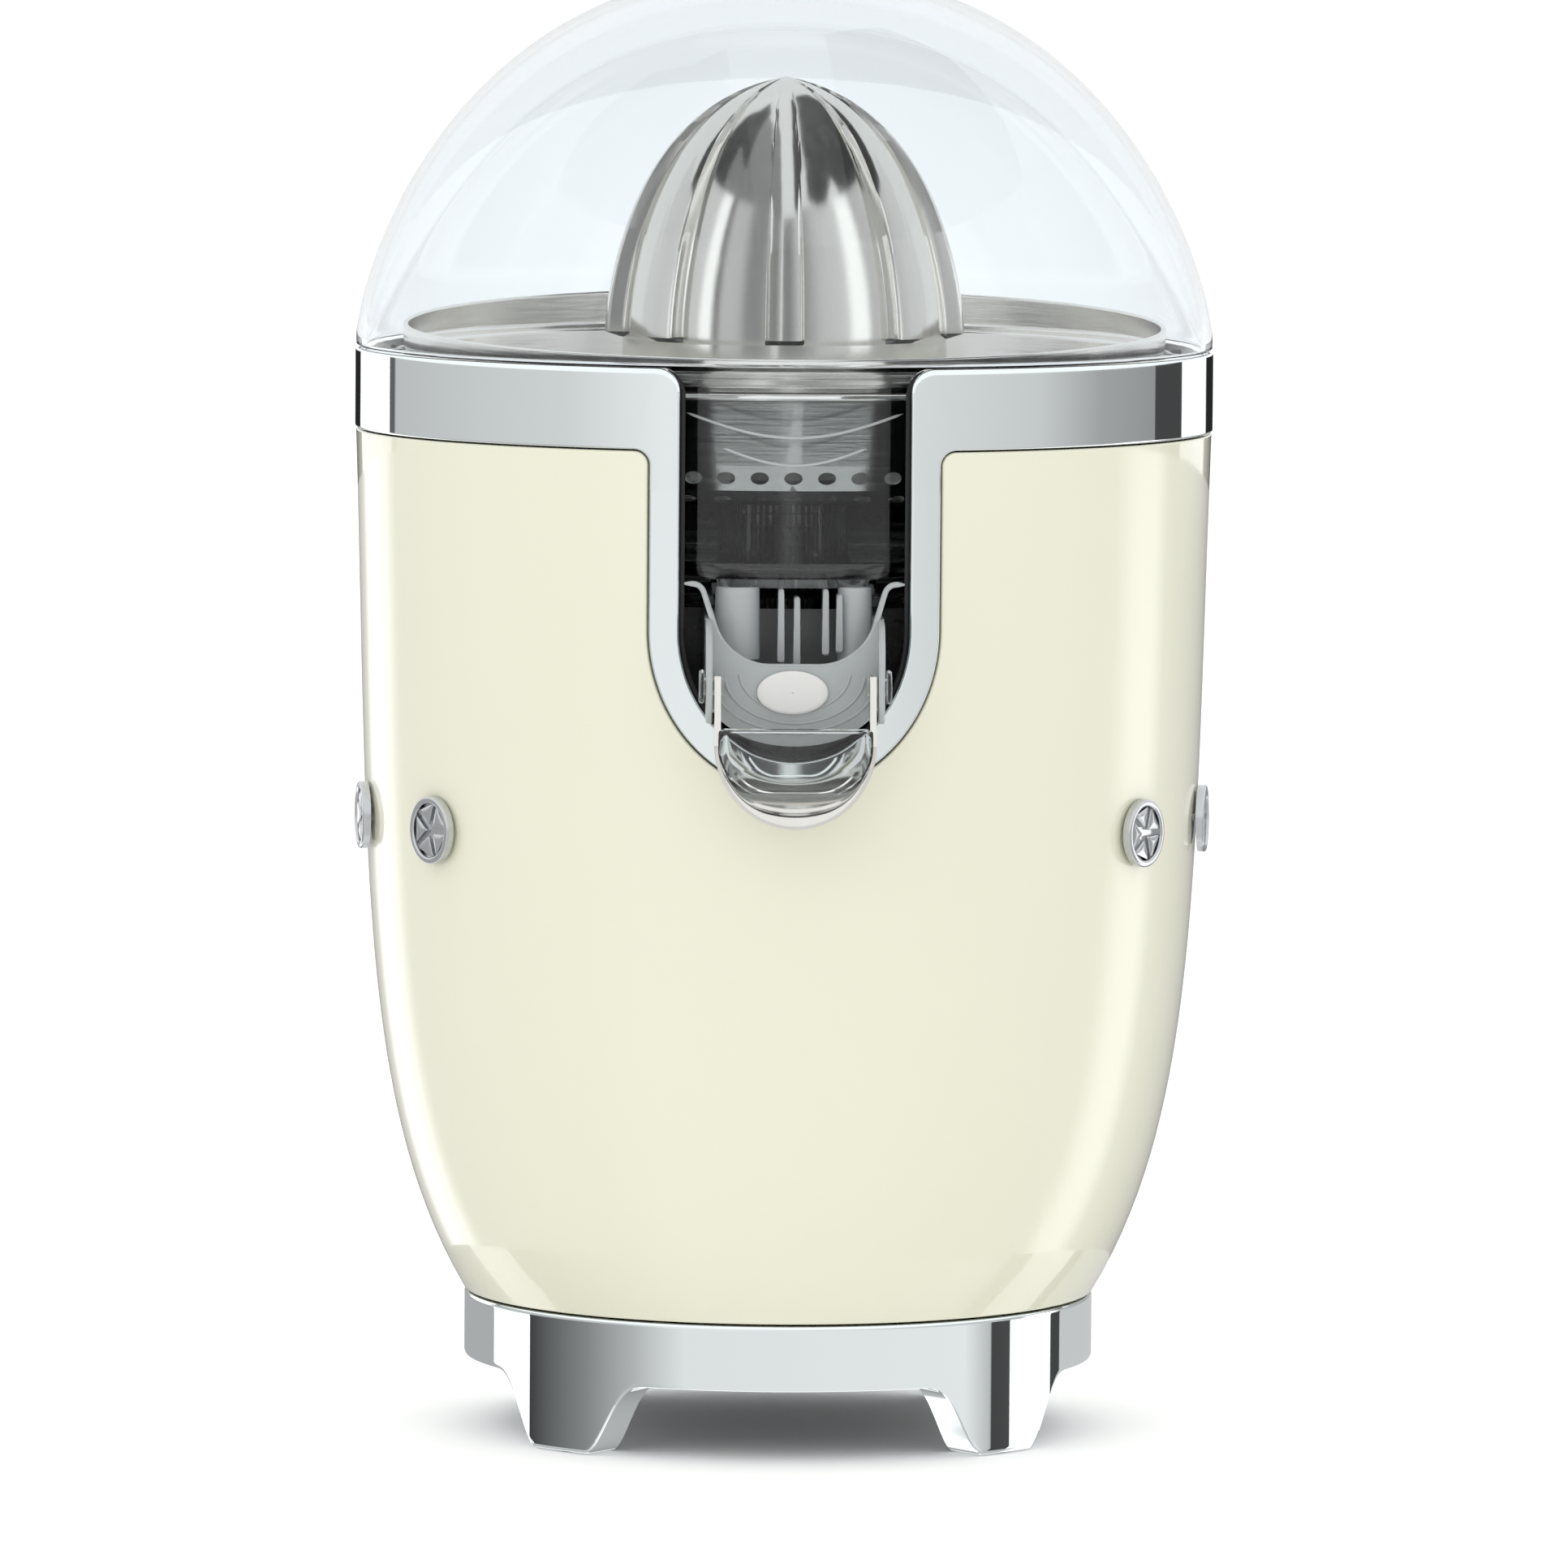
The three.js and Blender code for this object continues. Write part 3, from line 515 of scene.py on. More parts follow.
# ------------------------------------------------------------------ bowl and spout
def juice_bowl():
    """The turned bowl with a finely ribbed collar, open over the chute."""
    rim = [(71.2, 207, 0.3), (71.2, 209.5, 0.4), (79.9, 209.5, 0.5), (79.9, 206.6, 0.4), (76.4, 206.6, 0.4),
           (76.0, 171, 1), (70.5, 164.2, 3), (9.6, 163.7, 0.3), (9.6, 178.5, 0.3), (6, 178.5, 0.2),
           (6, 181, 0.3), (12, 181, 0.8), (12.4, 170, 1), (14.6, 166, 1), (69, 166, 3), (73.6, 171.5, 2),
           (74.1, 204, 0.5)]
    bowl = turned(rounded(rim), 240)
    points, faces = bowl
    ribbed = []
    for x, y, z in points:
        radius, angle = math.hypot(x, y), math.atan2(y, x)
        if 168 < z < 180.6 and 11.5 < radius < 14:
            radius += 0.22 * math.cos(angle * 60)
            x, y = radius * math.cos(angle), radius * math.sin(angle)
        ribbed.append((x, y, z))
    kept = []
    for face in faces:
        centre = [sum(points[i][k] for i in face) / len(face) for k in range(3)]
        if not (abs(centre[0]) < 14.6 and centre[1] < -51 and centre[2] < 168.5):
            kept.append(face)
    build("juice_bowl_body", ribbed, kept, CLEAR, "bowl", ["juice_bowl"], 40)


def bead(path, radius, sides=10):
    """A thin round bead along a path of points."""
    rows = []
    for i, here in enumerate(path):
        before, after = Vector(path[max(i - 1, 0)]), Vector(path[min(i + 1, len(path) - 1)])
        along = (after - before).normalized()
        across = along.cross(Vector((0, 1, 0))).normalized()
        outward = across.cross(along)
        taper = 0.05 if i in (0, len(path) - 1) else 1
        row = []
        for k in range(sides):
            a = TAU * k / sides
            row.append(tuple(Vector(here) + (across * math.cos(a) + outward * math.sin(a)) * radius * taper))
        rows.append(row)
    return grid(rows)


def plate(outline, front, back, edge=0.3):
    """A flat plate from an outline in x and z, with softened edges."""
    middle_x = sum(x for x, _ in outline) / len(outline)
    middle_z = sum(z for _, z in outline) / len(outline)
    rows = []
    for y, pull in ((front, edge), (front + edge, 0), (back - edge, 0), (back, edge)):
        row = []
        for x, z in outline:
            away = Vector((x - middle_x, z - middle_z))
            away *= 1 - pull / away.length
            row.append((middle_x + away.x, y, middle_z + away.y))
        rows.append(row)
    count = len(outline)
    ends = (rows[0] + rows[-1], [tuple(range(count)), tuple(range(count, 2 * count))])
    return merged(grid(rows), ends)


def half_ellipse(half, drop, shoulder, steps=32):
    """Points (x, z) along the lower half of an ellipse, from left to right."""
    return [(half * math.cos(a), shoulder + drop * math.sin(a))
            for a in (math.pi + math.pi * i / steps for i in range(steps + 1))]


def chute():
    """The milky trough under the bowl's front, open above and in front."""
    ring = [u_row(16.8, 10.5, 163.3, -49, 32, 150), u_row(16.8, 10.5, 163.3, -82.4, 32, 150),
            u_row(14.9, 8.6, 163.3, -82.4, 32, 150), u_row(14.9, 8.6, 163.3, -49, 32, 150)]
    trough = grid(ring, close_columns=False)
    end = (ring[0], [tuple(range(len(ring[0])))])
    sides = [([row[k] for row in ring], [(0, 1, 2, 3)]) for k in (0, -1)]
    build("spout_chute_trough", *merged(trough, end, *sides), MILKY, "bowl", ["spout_chute"], 40)


def outlet():
    """The chute's frosted front with its U-shaped mouth and rings, and the bowl's moulded lines."""
    mouth = rounded([(16.6, 163.2), (15.6, 163.2, 1), (14.2, 159, 3), (8.5, 154.5, 5), (-8.5, 154.5, 5),
                     (-14.2, 159, 3), (-15.6, 163.2, 1), (-16.6, 163.2)], 6, closed=False)
    front = plate(half_ellipse(16.7, 10.4, 150) + mouth, -84.3, -83.0)
    rings = []
    for half, drop, shoulder in ((15.2, 9.4, 151.6), (13.2, 9.2, 153.0), (10.4, 7.4, 153.4)):
        rings.append(bead([(x, -84.2, z) for x, z in half_ellipse(half, drop, shoulder)], 0.35))
    build("spout_chute_front", *merged(front, *rings), FROSTED, "bowl", (), 40)

    rim = rounded([(-21.5, 169.6), (-17.6, 169.6, 2), (-16.4, 166, 2), (-14, 158.6, 5), (-8, 154.4, 6),
                   (8, 154.4, 6), (14, 158.6, 5), (16.4, 166, 2), (17.6, 169.6, 2), (21.5, 169.6)], 10,
                  closed=False)
    depth = [-83.6 + 5.2 * smooth_step((z - 160) / 9) for _, z in rim]
    lines = [bead([(x, y, z) for (x, z), y in zip(rim, depth)], 0.55, 14)]
    for reach, sag, top in ((20.5, 4.6, 201.6), (13.5, 3.2, 195.0)):
        path = []
        for i in range(33):
            x = reach * (i / 16 - 1)
            z = top - sag * math.cos(math.pi / 2 * x / reach)
            path.append((x, -math.sqrt(76.3 ** 2 - x * x), z))
        lines.append(bead(path, 0.28))
    build("bowl_moulded_lines", *merged(*lines), MILKY, "bowl", (), 40)


def drain_guides():
    """Upright fins and two round bosses round the drain, seen through the mouth of the chute."""
    parts = []
    fins = [(-2.4, 154.5, 168.5), (0.6, 153.5, 167.0), (6.0, 156.0, 168.5), (8.6, 156.5, 167.5)]
    for x, bottom, top in fins:
        fin = rounded([(x - 0.7, bottom, 0.4), (x + 0.7, bottom, 0.4),
                       (x + 0.55, top, 0.5), (x - 0.55, top, 0.5)])
        parts.append(plate(fin, -76.5, -70.5))
    for x, radius in ((-10.6, 4.4), (11.6, 3.4)):
        wall = rounded([(radius, 155, 0.4), (radius - 0.2, 168.8, 0.6), (radius - 1.5, 168.8, 0.6),
                        (radius - 1.3, 155, 0.4)])
        parts.append(moved(turned(wall, 48), (x, -72.5, 0)))
    build("spout_chute_guides", *merged(*parts), MILKY, "bowl", (), 40)


def cheeks():
    """The two frosted plates that carry the pouring lip."""
    side = rounded([(-80, 163.2, 1), (-87, 163.2, 4), (-91.4, 158, 3), (-91.4, 146, 2), (-89, 143.6, 1.5),
                    (-84.6, 146, 1), (-84.6, 147.9, 1), (-80, 151, 1)], 5)
    flat = plate([(y, z) for y, z in side], 15.6, 16.8, 0.25)
    parts = []
    for sign in (-1, 1):
        parts.append(([(sign * x, y, z) for y, x, z in flat[0]], flat[1]))
    build("spout_chute_cheeks", *merged(*parts), FROSTED, "bowl", (), 35)


def hub_sleeve():
    """The finely ribbed sleeve round the drive, seen through the bowl's collar."""
    profile = [(9.3, 163.2), (9.3, 164.2), (8.75, 168), (8.75, 175.6), (8.2, 176.1), (7.0, 176.1)]
    rows = []
    for radius, height in profile:
        row = []
        for k in range(288):
            a = TAU * k / 288
            r = radius + (0.18 * math.cos(a * 48) if 163.5 < height < 176 else 0)
            row.append((r * math.cos(a), r * math.sin(a), height))
        rows.append(row)
    build("bowl_well_sleeve", *grid(rows), SLEEVE_GREY, "housing", (), 50)


def spout_pins():
    """The two headed pins that the lip turns on."""
    pivot_y, pivot_z = PIVOT
    profile = rounded([(0.01, 13.2), (1.6, 13.2, 0.3), (1.6, 17.1), (3.2, 17.1, 0.3), (3.2, 18.1, 0.5),
                       (0.01, 18.2)], 4, closed=False)
    for side, sign in (("right", 1), ("left", -1)):
        rows = []
        for r, x in profile:
            rows.append([(sign * x, pivot_y + a, pivot_z + b) for a, b in circle(r, 40)])
        build(f"spout_pin_{side}_clear", *grid(rows), CLEAR, "bowl", [f"spout_pin_{side}"], 40)


def lip_row(half, drop, y):
    """Points along the lip's rounded bottom at one y; the bottom rises to the back."""
    rise = 1 - 0.45 * max(0.0, (y + 93.4) / 8.3) ** 0.62
    return [(x, y, z) for x, z in half_ellipse(half, drop * rise, LIP_SHOULDER, 48)]


def spout_lip():
    """A steel trough whose floor falls to the front, with an ear each side round the pivot."""
    steps = [-85.1 - 8.0 * i / 10 for i in range(11)]
    rows = [lip_row(15.2, 16, y) for y in steps]
    rows += [lip_row(15.05, 15.85, -93.35), lip_row(14.6, 15.3, -93.45), lip_row(14.15, 14.8, -93.35)]
    rows += [lip_row(14, 14.6, y) for y in reversed(steps)]
    parts = [grid(rows, close_rows=True, close_columns=False)]
    outline = rounded([(-86.2, LIP_SHOULDER), (-86.0, 151, 1.5), (-86.8, 153, 1.2), (-88.5, 153.6, 1.2),
                       (-90.2, 153, 1.2), (-91, 151, 1.5), (-92.6, LIP_SHOULDER)], 5)
    for sign in (-1, 1):
        ring = [[(sign * x, y, z) for y, z in outline] for x in (14.0, 15.2)]
        count = len(outline)
        ends = (ring[0] + ring[1], [tuple(range(count)), tuple(range(count, 2 * count))])
        parts += [grid(ring), ends]
    build("spout_lip_steel", *merged(*parts), REAMER_STEEL, "spout_flap", ["spout_lip"], 40)


def spout_shield():
    """The clear window across the front of the lip, thicker round its edge."""
    front = rounded([(-14.5, 143.5, 1.2), (-14.5, 136.4, 4), (-8.5, 130.6, 6), (8.5, 130.6, 6),
                     (14.5, 136.4, 4), (14.5, 143.5, 1.2)], 8)
    middle_z = 137.5
    rows = []
    for scale, y in ((0.0, -94.2), (0.55, -94.2), (0.86, -94.1), (0.9, -93.75), (0.97, -93.72), (1.0, -94.0),
                     (1.0, -94.5), (0.97, -94.68), (0.8, -94.66), (0.4, -94.62), (0.0, -94.6)):
        rows.append([(x * scale, y, middle_z + (z - middle_z) * scale) for x, z in front])
    build("spout_shield_clear", *grid(rows), SHIELD_CLEAR, "spout_flap", ["spout_shield"], 35)


def drip_plug():
    """The pale plug on the front of the chute."""
    profile = rounded([(0.02, 0), (1, 0, 0.05), (1, 0.7, 0.1), (0.9, 1.0, 0.1), (0.02, 1.15)], 4,
                      closed=False)
    rows = []
    for reach, height in profile:
        rows.append([(-0.4 + 6.7 * a, -84.3 - height, 149.6 + 4.1 * b) for a, b in circle(reach, 64)])
    build("spout_chute_plug", *grid(rows), SILICONE, "bowl", (), 40)


# ------------------------------------------------------------------ strainer, reamer and lid
def pierced(outline_at, holes, half_u, half_v, wall, first=0.0):
    """A turned band with a row of oval holes. outline_at gives (radius, height) for v from -1 to 1."""
    cell = TAU / holes
    steps = 24
    points, faces = [], []
    for i in range(holes):
        middle_angle = first + i * cell
        start = len(points)
        for side in (0, wall):
            for reach in ("hole", "frame"):
                for k in range(steps):
                    a = TAU * k / steps
                    u, v = math.cos(a), math.sin(a)
                    if reach == "frame":
                        scale = 1 / max(abs(u), abs(v))
                        u, v = u * scale * cell / 2, v * scale
                    else:
                        u, v = u * half_u, v * half_v
                    r, z = outline_at(v)
                    r -= side
                    angle = middle_angle + u
                    points.append((r * math.sin(angle), -r * math.cos(angle), z))
        for k in range(steps):
            n = (k + 1) % steps
            hole, edge = start, start + steps
            hole_in, edge_in = start + 2 * steps, start + 3 * steps
            faces.append((hole + k, hole + n, edge + n, edge + k))
            faces.append((hole_in + n, hole_in + k, edge_in + k, edge_in + n))
            faces.append((hole + n, hole + k, hole_in + k, hole_in + n))
    return points, faces


def strainer():
    """The steel dish: a rolled rim, a pierced wall and floor, and a collar in the middle."""
    upper = turned(rounded([(69.1, 204.6), (69.3, 206), (69.7, 209.7, 0.8), (73.8, 209.9, 0.8),
                            (74, RIM_TOP - 0.3, 0.3), (73.5, RIM_TOP, 0.2), (73, RIM_TOP - 0.3, 0.2),
                            (73, 211, 0.8), (69, 210.7, 0.8), (68.5, 206), (68.3, 204.6)], 4, closed=False),
                   240, closed=False)
    sloped = []
    for x, y, z in upper[0]:
        lift = smooth_step((z - 211.2) / (RIM_TOP - 211.2))
        sloped.append((x, y, z + RIM_SLOPE * y * lift))
    windows = pierced(lambda v: (66.5 + 0.7 * v, 188.8 + v * 2.4), 66, 0.026, 0.5, 0.8)
    bend = pierced(lambda v: (63.4 + 2.4 * v, 184.6 + 1.5 * v + 0.3 * v * v), 60, 0.026, 0.45, 0.6)
    rings = []
    for radius, holes in ((58.5, 54), (53.7, 50), (48.9, 46), (44.1, 42)):
        top = pierced(lambda v, r=radius: (r + 2.4 * v, 184.3), holes, 1.5 / radius, 0.62, 0.0)
        low = ([(x, y, z - 0.9) for x, y, z in top[0]], top[1])
        rings += [top, low]
    centre = turned(rounded([(41.7, 184.3), (10.4, 184.3, 0.8), (10, 189.6, 0.4), (7.1, 189.6, 0.4),
                             (7.1, 183.4, 0.4), (41.7, 183.4)], 4, closed=False), 192, closed=False)
    wall = [turned([(r, 191.2), (r + 1.9, 204.6)], 240, closed=False) for r in (67.2, 66.4)]
    # The rim takes the lighter copy of the steel and the basket the darker copy: painted light and shade on
    # one steel.
    build("strainer_rim_steel", sloped, upper[1], RIM_STEEL_LIT_COPY, "strainer_dish", (), 40)
    build("strainer_basket_steel", *merged(*wall, windows, bend, *rings, centre), BASKET_STEEL_SHADED_COPY,
          "strainer_dish", ["strainer"], 40)


CONE_CURVE = bezier((CONE_RADIUS, CONE_SHOULDER), (CONE_RADIUS, 221.4), (29.9, 258), (0, CONE_TOP), 80)


def cone_radius(height):
    """Outline of the reamer over its ribs."""
    if height < CONE_SHOULDER:
        return CONE_RADIUS + (CONE_SHOULDER - height) * 0.05
    for (r0, z0), (r1, z1) in zip(CONE_CURVE, CONE_CURVE[1:]):
        if height <= z1:
            return r0 + (r1 - r0) * (height - z0) / (z1 - z0)
    return 0.0


def reamer_cone():
    """Smooth lobes between raised flat-topped ribs that end short of the bottom."""
    per_rib = 72
    count = RIBS * per_rib
    heights = [190, 200, 206, 210, 211.9, 212.1, 212.6, 213.1, 213.3]
    heights += [z for _, z in CONE_CURVE[4:-1] if z > 213.4]
    rows = []
    for height in heights:
        radius = cone_radius(height)
        slim = min(1.0, radius / CONE_RADIUS)
        rib_half = 3.2 * slim ** 0.8
        depth = 3.5 * slim ** 0.9
        standing = smooth_step(height - RIB_END + 0.5)
        row = []
        for k in range(count):
            turn = (k / per_rib + 0.5) % 1 - 0.5
            across = abs(turn) * TAU / RIBS * radius
            on_rib = 1 - smooth_step((across - rib_half) / (0.75 * slim + 0.05))
            crown = 0.3 * slim * (1 - min(1.0, across / rib_half) ** 2)
            r = radius - depth + (depth - 0.3 * slim + crown) * on_rib * standing
            angle = math.radians(RIB_TURN) + TAU * k / count
            row.append((r * math.sin(angle), -r * math.cos(angle), height))
        rows.append(row)
    points, faces = grid(rows)
    points.append((0, 0, CONE_TOP))
    last = len(rows) - 1
    for k in range(count):
        faces.append((last * count + k, last * count + (k + 1) % count, len(points) - 1))
    build("reamer_cone_steel", points, faces, REAMER_STEEL, "reamer", ["reamer_cone"], 38)


def lid_dome():
    """The clear dome, a wall of even thickness with a rounded foot."""
    outer = bezier((83, 211.2), (83.9, 220), (67.6, LID_TOP), (0.02, LID_TOP), 64)
    inner = bezier((81.2, 211.2), (82.0, 220), (66.6, LID_TOP - 1.8), (0.02, LID_TOP - 1.8), 64)
    foot = [(81.2, 210.9), (81.5, 210.6), (82.7, 210.6), (83, 210.9)]
    outline = list(reversed(inner)) + foot + outer
    build("lid_dome_clear", *turned(outline, 256, closed=False), LID_CLEAR, "lid", ["lid_dome"], 50)


# ------------------------------------------------------------------ drive, pads and carried-over parts
def drive_shaft():
    """A round shaft with a six-sided top."""
    round_part = turned(rounded([(0.02, 101.5), (5, 101.5, 0.5), (5, 184, 0.4), (4.4, 184)], 4, closed=False),
                        64, closed=False)
    rows = []
    for radius, height in ((4.8, 183.5), (4.8, 229), (4.1, 230), (0.02, 230)):
        rows.append([(a, b, height) for a, b in circle(radius, 6)])
    build("drive_shaft_steel", *merged(round_part, grid(rows)), PLAIN_STEEL, "output", ["drive_shaft"], 30)


def foot_pads():
    """A rubber pad under each foot, where the frame has it."""
    for i in range(4):
        low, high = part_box(f"foot_pad_{i + 1}")
        centre = (low + high) / 2
        x, y = (centre.x - AXIS.x) / MM, (centre.y - AXIS.y) / MM
        profile = rounded([(0.02, 0), (2.7, 0, 0.4), (2.6, 1.7, 0.2), (0.02, 1.7)], 3, closed=False)
        rows = [[(x + a, y + b, z) for a, b in circle(r, 32)] for r, z in profile]
        build(f"foot_pad_{i + 1}_rubber", *grid(rows), RUBBER, "housing", [f"foot_pad_{i + 1}"], 40)


def finish_cad_nodes():
    """Every CAD node that still shows gets a node material and softened edges."""
    slots = {s["node"]: s["material_slot"] for s in frame["record"]["subparts"]}
    for name, piece in frame["nodes"].items():
        if piece.hide_render:
            continue
        material, _ = CAD_FINISHES[slots[name]]
        piece.data.materials.clear()
        piece.data.materials.append(material)
        soft = piece.modifiers.new("soft_edges", "BEVEL")
        soft.width = 0.15 * MM
        soft.segments = 2
        soft.limit_method = "ANGLE"
        soft.angle_limit = math.radians(35)
        soft.harden_normals = False


# ------------------------------------------------------------------ studio
CAMERA_AZIMUTH = -1.6
CAMERA_ELEVATION = 4.86


def camera_direction():
    """From the object toward the camera."""
    azimuth, elevation = math.radians(CAMERA_AZIMUTH), math.radians(CAMERA_ELEVATION)
    return Vector((math.sin(azimuth) * math.cos(elevation), -math.cos(azimuth) * math.cos(elevation),
                   math.sin(elevation)))


def camera():
    """A long lens a little above the object and slightly to its left."""
    target = Vector(place(0, 0, 120))
    data = bpy.data.cameras.new("camera")
    data.lens = 295.96
    data.sensor_width = 36
    data.clip_end = 100
    lens = bpy.data.objects.new("camera", data)
    bpy.context.scene.collection.objects.link(lens)
    lens.location = target + camera_direction() * 2.509
    aim = target + Vector((0.49 * MM, 0, 5.34 * MM))
    facing = (lens.location - aim).to_track_quat("Z", "Y").to_matrix().to_4x4()
    roll = Vector((0, 0, 1))
    lens.rotation_euler = (facing @ facing.Rotation(0.0068, 4, roll)).to_euler()
    bpy.context.scene.camera = lens


def area_light(name, location, size, power):
    data = bpy.data.lights.new(name, "AREA")
    data.shape = "RECTANGLE"
    data.size, data.size_y = size
    data.energy = power
    light = bpy.data.objects.new(name, data)
    bpy.context.scene.collection.objects.link(light)
    light.location = Vector(location)
    light.rotation_euler = (Vector((0, 0, 0.13)) - light.location).to_track_quat("-Z", "Y").to_euler()
    light.visible_glossy = False
    light.visible_transmission = False


def screen(name, points, faces, shades, mirrored, through):
    """A glowing surface that lights nothing, seen in reflections (mirrored) or beyond clear plastic
    (through); it paints a reflection.

    shades has one brightness for each point."""
    mesh = bpy.data.meshes.new(name)
    mesh.from_pydata(points, [], faces)
    glow = mesh.color_attributes.new("glow", "FLOAT_COLOR", "POINT")
    for i, shade in enumerate(shades):
        glow.data[i].color = (shade, shade, shade, 1)
    material = bpy.data.materials.new(name)
    material.use_nodes = True
    nodes, links = material.node_tree.nodes, material.node_tree.links
    shader = nodes["Principled BSDF"]
    shader.inputs["Base Color"].default_value = (0, 0, 0, 1)
    shader.inputs["Specular IOR Level"].default_value = 0
    shader.inputs["Emission Strength"].default_value = 1
    level = nodes.new("ShaderNodeVertexColor")
    level.layer_name = "glow"
    links.new(level.outputs["Color"], shader.inputs["Emission Color"])
    mesh.materials.append(material)
    piece = bpy.data.objects.new(name, mesh)
    bpy.context.scene.collection.objects.link(piece)
    piece.visible_camera = False
    piece.visible_diffuse = False
    piece.visible_shadow = False
    piece.visible_glossy = mirrored
    piece.visible_transmission = through


def landing(angle, surface, distance):
    """Where on a round screen the camera's view of a mirror cylinder at this angle comes from."""
    out = 2 * angle
    b = surface * math.cos(out - angle)
    t = math.sqrt(b * b + distance * distance - surface * surface) - b
    x = surface * math.sin(angle) + t * math.sin(out)
    y = surface * math.cos(angle) + t * math.cos(out)
    return math.atan2(x, y) % TAU if angle > math.pi / 2.2 else math.atan2(x, y)


def bounce(turn, rise):
    """The direction in which the camera's view leaves a surface that faces this way, in degrees."""
    a, e = math.radians(turn), math.radians(rise)
    facing = Vector((math.sin(a) * math.cos(e), -math.cos(a) * math.cos(e), math.sin(e)))
    back = camera_direction()
    return 2 * facing.dot(back) * facing - back


def round_screen(name, surface, distance, low, high, stops, mirrored=True, through=False):
    """A round screen that paints reflections. stops are (angle on the object, brightness), read from left to
    right.
    """
    points, shades = [], []
    view = math.radians(CAMERA_AZIMUTH)
    for (a0, s0), (a1, s1) in zip(stops, stops[1:]):
        steps = max(1, round(abs(a1 - a0) / 2))
        for k in range(steps + 1):
            t = k / steps
            spot = landing(math.radians(a0 + (a1 - a0) * t), surface, distance) + view
            x, y = AXIS.x + distance * math.sin(spot), AXIS.y - distance * math.cos(spot)
            for height in (low, high):
                points.append((x, y, height))
                shades.append(s0 + (s1 - s0) * t)
    faces = [(i, i + 2, i + 3, i + 1) for i in range(0, len(points) - 2, 2)]
    screen(name, points, faces, shades, mirrored, through)


def patch(name, corners, shade, distance=1.1):
    """A glowing panel that paints a reflection on the reamer where its surface faces the given (turn, rise)
    corners.
    """
    centre = Vector(place(0, 0, 240))
    points = [tuple(centre + distance * bounce(*corner)) for corner in corners]
    screen(name, points, [tuple(range(len(points)))], [shade] * len(points), False, True)


# Brightness round each screen, set to put the wanted light and dark bands on the metal as the camera sees it.
# It suits that one camera, and the exported model has none of it.
# These tables are painted reflections: painted stripes on the chrome band and base, painted highlights on the
# cream paint, and painted light and dark on the strainer and reamer.
BAND_PAINTED_REFLECTION = [(-89, 0.02), (-80, 0.02), (-80, 1.3), (-66, 1.3), (-66, 0.12), (-64.5, 0.12), (-64, 0.52),
                (-30, 0.66), (-16, 0.84), (-13, 0.84), (13, 0.72), (16, 0.72), (36, 0.6), (47, 0.37),
                (59, 0.3), (59.2, 0.06), (67, 0.06), (67.4, 1.3), (78, 1.3), (79, 0.02), (89, 0.02)]
BODY_PAINTED_REFLECTION = [(-89, 0.3), (-80, 0.5), (-76, 1.7), (-69, 1.7), (-65, 0.5), (-30, 0.55), (-20, 0.85),
                (-13, 0.85), (13, 0.76), (20, 0.7), (30, 0.62), (51, 0.5), (55, 1.8), (60, 1.8), (64, 0.5),
                (89, 0.3)]
BASE_PAINTED_REFLECTION = [(-89, 0.42), (-64, 0.42), (-64, 1.2), (-51.5, 1.2), (-51.4, 0.05), (-37, 0.24), (-27, 0.46),
                (-17, 0.78), (36, 0.82), (42, 0.5), (42.4, 0.06), (47, 0.07), (47.1, 1.2), (59.5, 1.2),
                (59.6, 0.06), (63, 0.06), (63.2, 0.58), (89, 0.58)]
REAMER_PAINTED_REFLECTION = [(-62, 0.9), (-45, 0.85), (-33, 0.9), (-31, 1.6), (-27.5, 1.6), (-26.5, 0.22), (-25, 0.25),
                  (-23.5, 0.75), (-17, 0.7), (-14, 0.35), (-9, 0.3), (-5, 0.6), (-3, 1.3), (-2, 0.35),
                  (4, 0.3), (9, 0.5), (13, 0.75), (23, 0.9), (25.5, 1.6), (31, 1.6), (33, 0.7), (45, 0.85),
                  (62, 0.9)]
STRAINER_PAINTED_REFLECTION = [(-45, 0.14), (-24, 0.14), (-18, 0.5), (-15, 0.1), (-5, 0.06), (-1, 0.1), (0.5, 0.9),
                    (1.5, 0.9), (3, 0.1), (10, 0.05), (15, 0.14), (18, 0.5), (24, 0.14), (45, 0.14)]


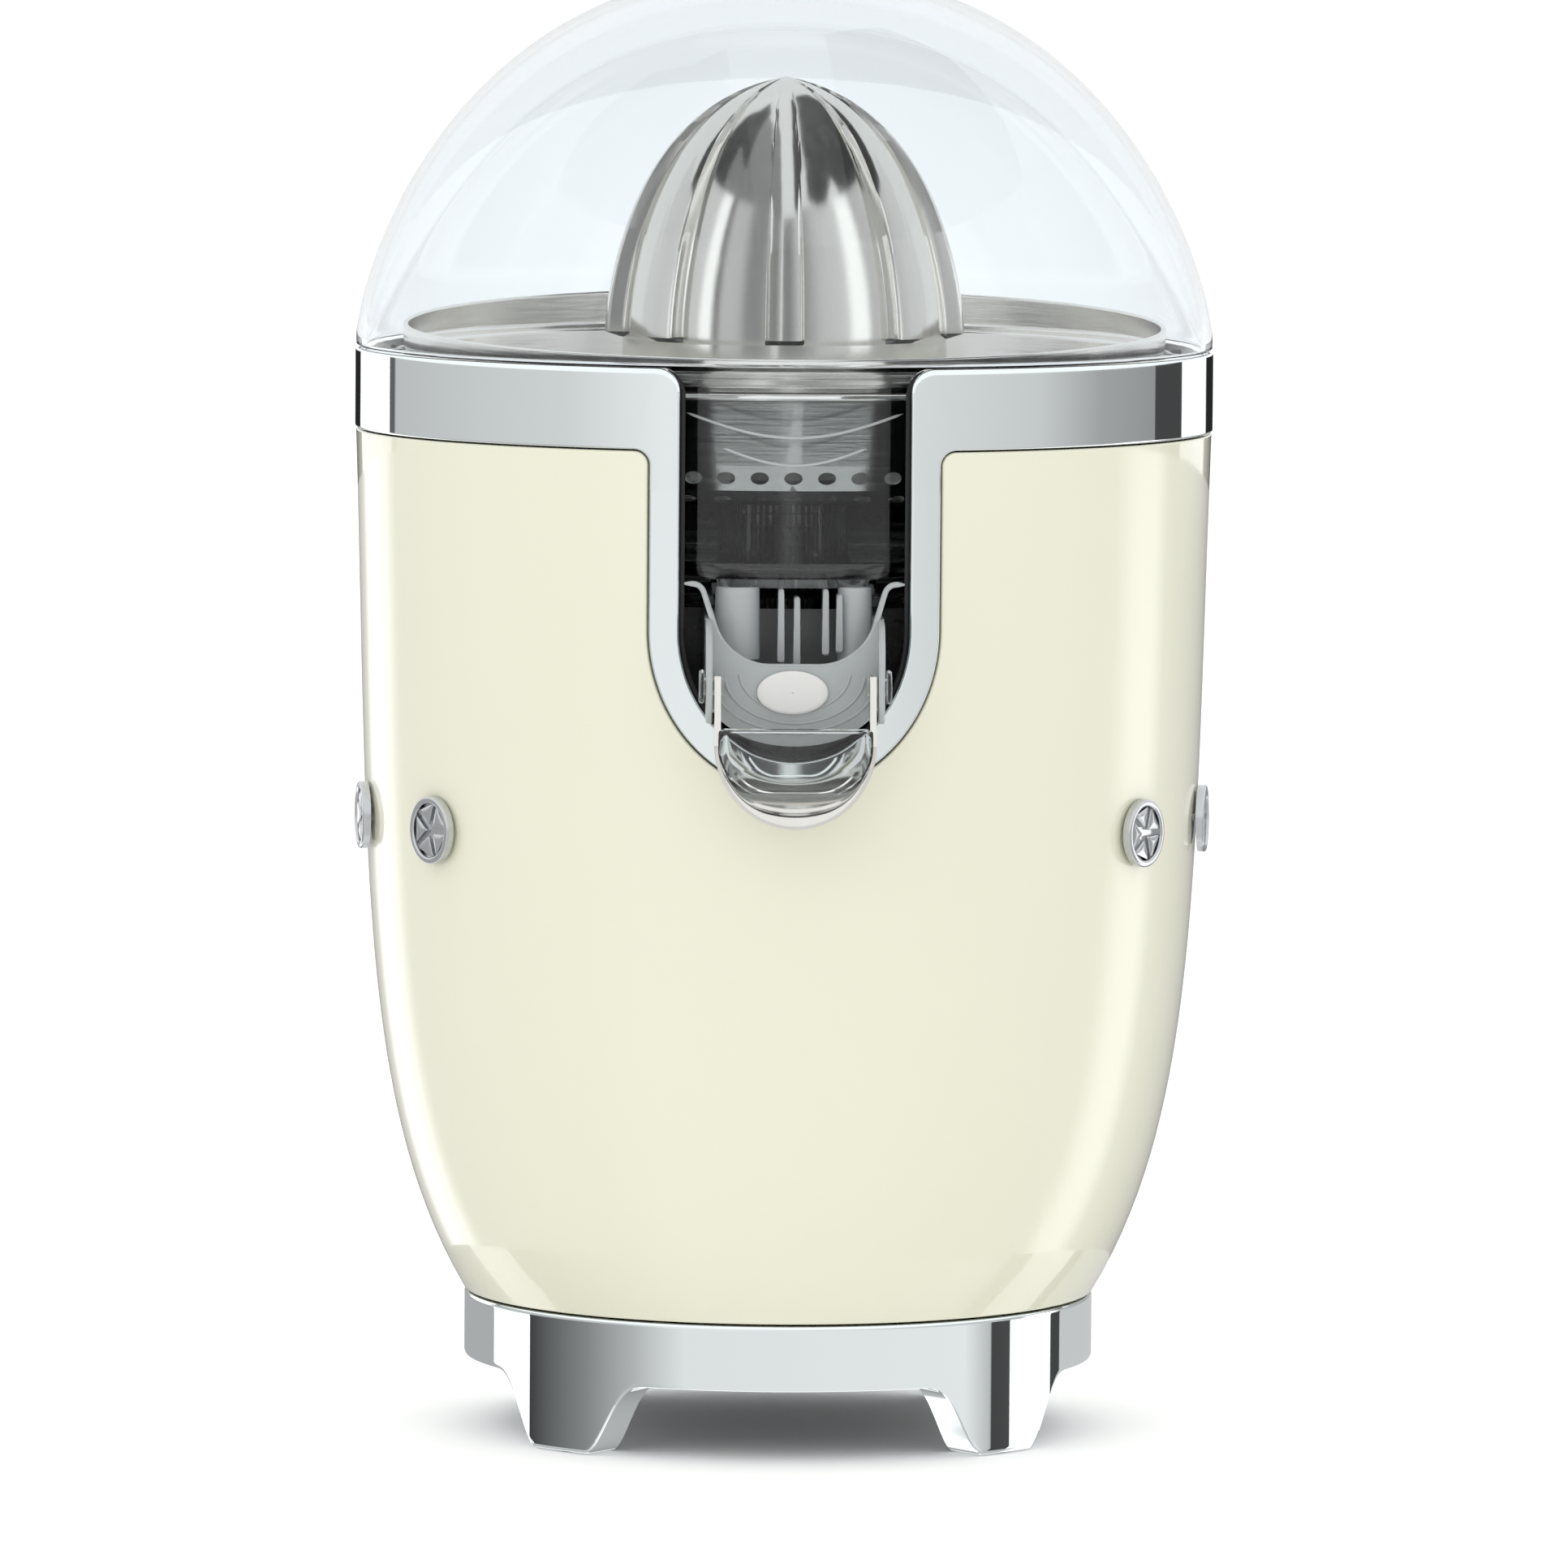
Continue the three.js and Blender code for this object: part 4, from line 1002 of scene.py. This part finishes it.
def studio():
    """Floor, white world, two weak lights, and the glowing screens that only reflections see, which paint
    reflections.
    """
    mesh = bpy.data.meshes.new("floor")
    mesh.from_pydata([(-40, -20, 0), (40, -20, 0), (40, 60, 0), (-40, 60, 0)], [], [(0, 1, 2, 3)])
    floor = bpy.data.objects.new("floor", mesh)
    bpy.context.scene.collection.objects.link(floor)
    material, _ = surface("pale_floor", "", (1.15, 1.15, 1.15, 1), 0.9, 0.02, (4, 4, 4), 0.0, 0.99,
                          Specular_IOR_Level=0.0)
    mesh.materials.append(material)
    floor.visible_glossy = False

    world = bpy.data.worlds.new("studio")
    bpy.context.scene.world = world
    world.use_nodes = True
    background = world.node_tree.nodes["Background"]
    background.inputs["Color"].default_value = (0.985, 0.995, 1.0, 1)
    background.inputs["Strength"].default_value = 1.04

    area_light("key", (-1.0, -1.8, 1.4), (1.4, 1.4), 3)
    area_light("top", (0.0, 0.1, 2.2), (1.8, 1.8), 3)
    # Glowing screens that light nothing: painted reflections on the band, body, base, strainer and reamer.
    round_screen("band_painted_reflection_screen", 0.0832, 0.6, 0.147, 0.19, BAND_PAINTED_REFLECTION)
    round_screen("body_painted_reflection_screen", 0.083, 0.6, -1.5, 0.147, BODY_PAINTED_REFLECTION)
    round_screen("base_painted_reflection_screen", 0.0612, 0.078, -0.008, 0.0264, BASE_PAINTED_REFLECTION)
    round_screen("strainer_painted_reflection_screen", 0.067, 0.62, -0.8, 0.19, STRAINER_PAINTED_REFLECTION, False, True)
    round_screen("reamer_painted_reflection_screen", 0.034, 0.62, 0.19, 0.75, REAMER_PAINTED_REFLECTION, False, True)
    # Dark and grey panels that paint dark and grey reflections on the reamer's lobes.
    patch("painted_dark_reflection_right", [(8, 60), (7, 40), (8, 24), (15, 22), (20, 29), (25, 22), (36, 25), (40, 40),
                         (37, 54), (25, 62)], 0.015)
    patch("painted_dark_reflection_left", [(-38, 22), (-31, 24), (-27, 38), (-21, 30), (-17, 46), (-13, 50), (-16, 56),
                        (-22, 52), (-30, 50), (-38, 40)], 0.03)
    patch("painted_grey_reflection_left", [(-37, 20.5), (-5, 20.5), (-9, 44), (-16, 50), (-32, 44)], 0.28, 1.3)

    scene = bpy.context.scene
    scene.view_settings.view_transform = "Standard"
    scene.view_settings.look = "None"


housing_shell()
trim_band()
opening_shadow_bead()
base_ring()
badges()
bowl_well()
juice_bowl()
chute()
outlet()
drain_guides()
cheeks()
hub_sleeve()
drip_plug()
spout_pins()
spout_lip()
spout_shield()
strainer()
reamer_cone()
lid_dome()
drive_shaft()
foot_pads()
finish_cad_nodes()
camera()
studio()
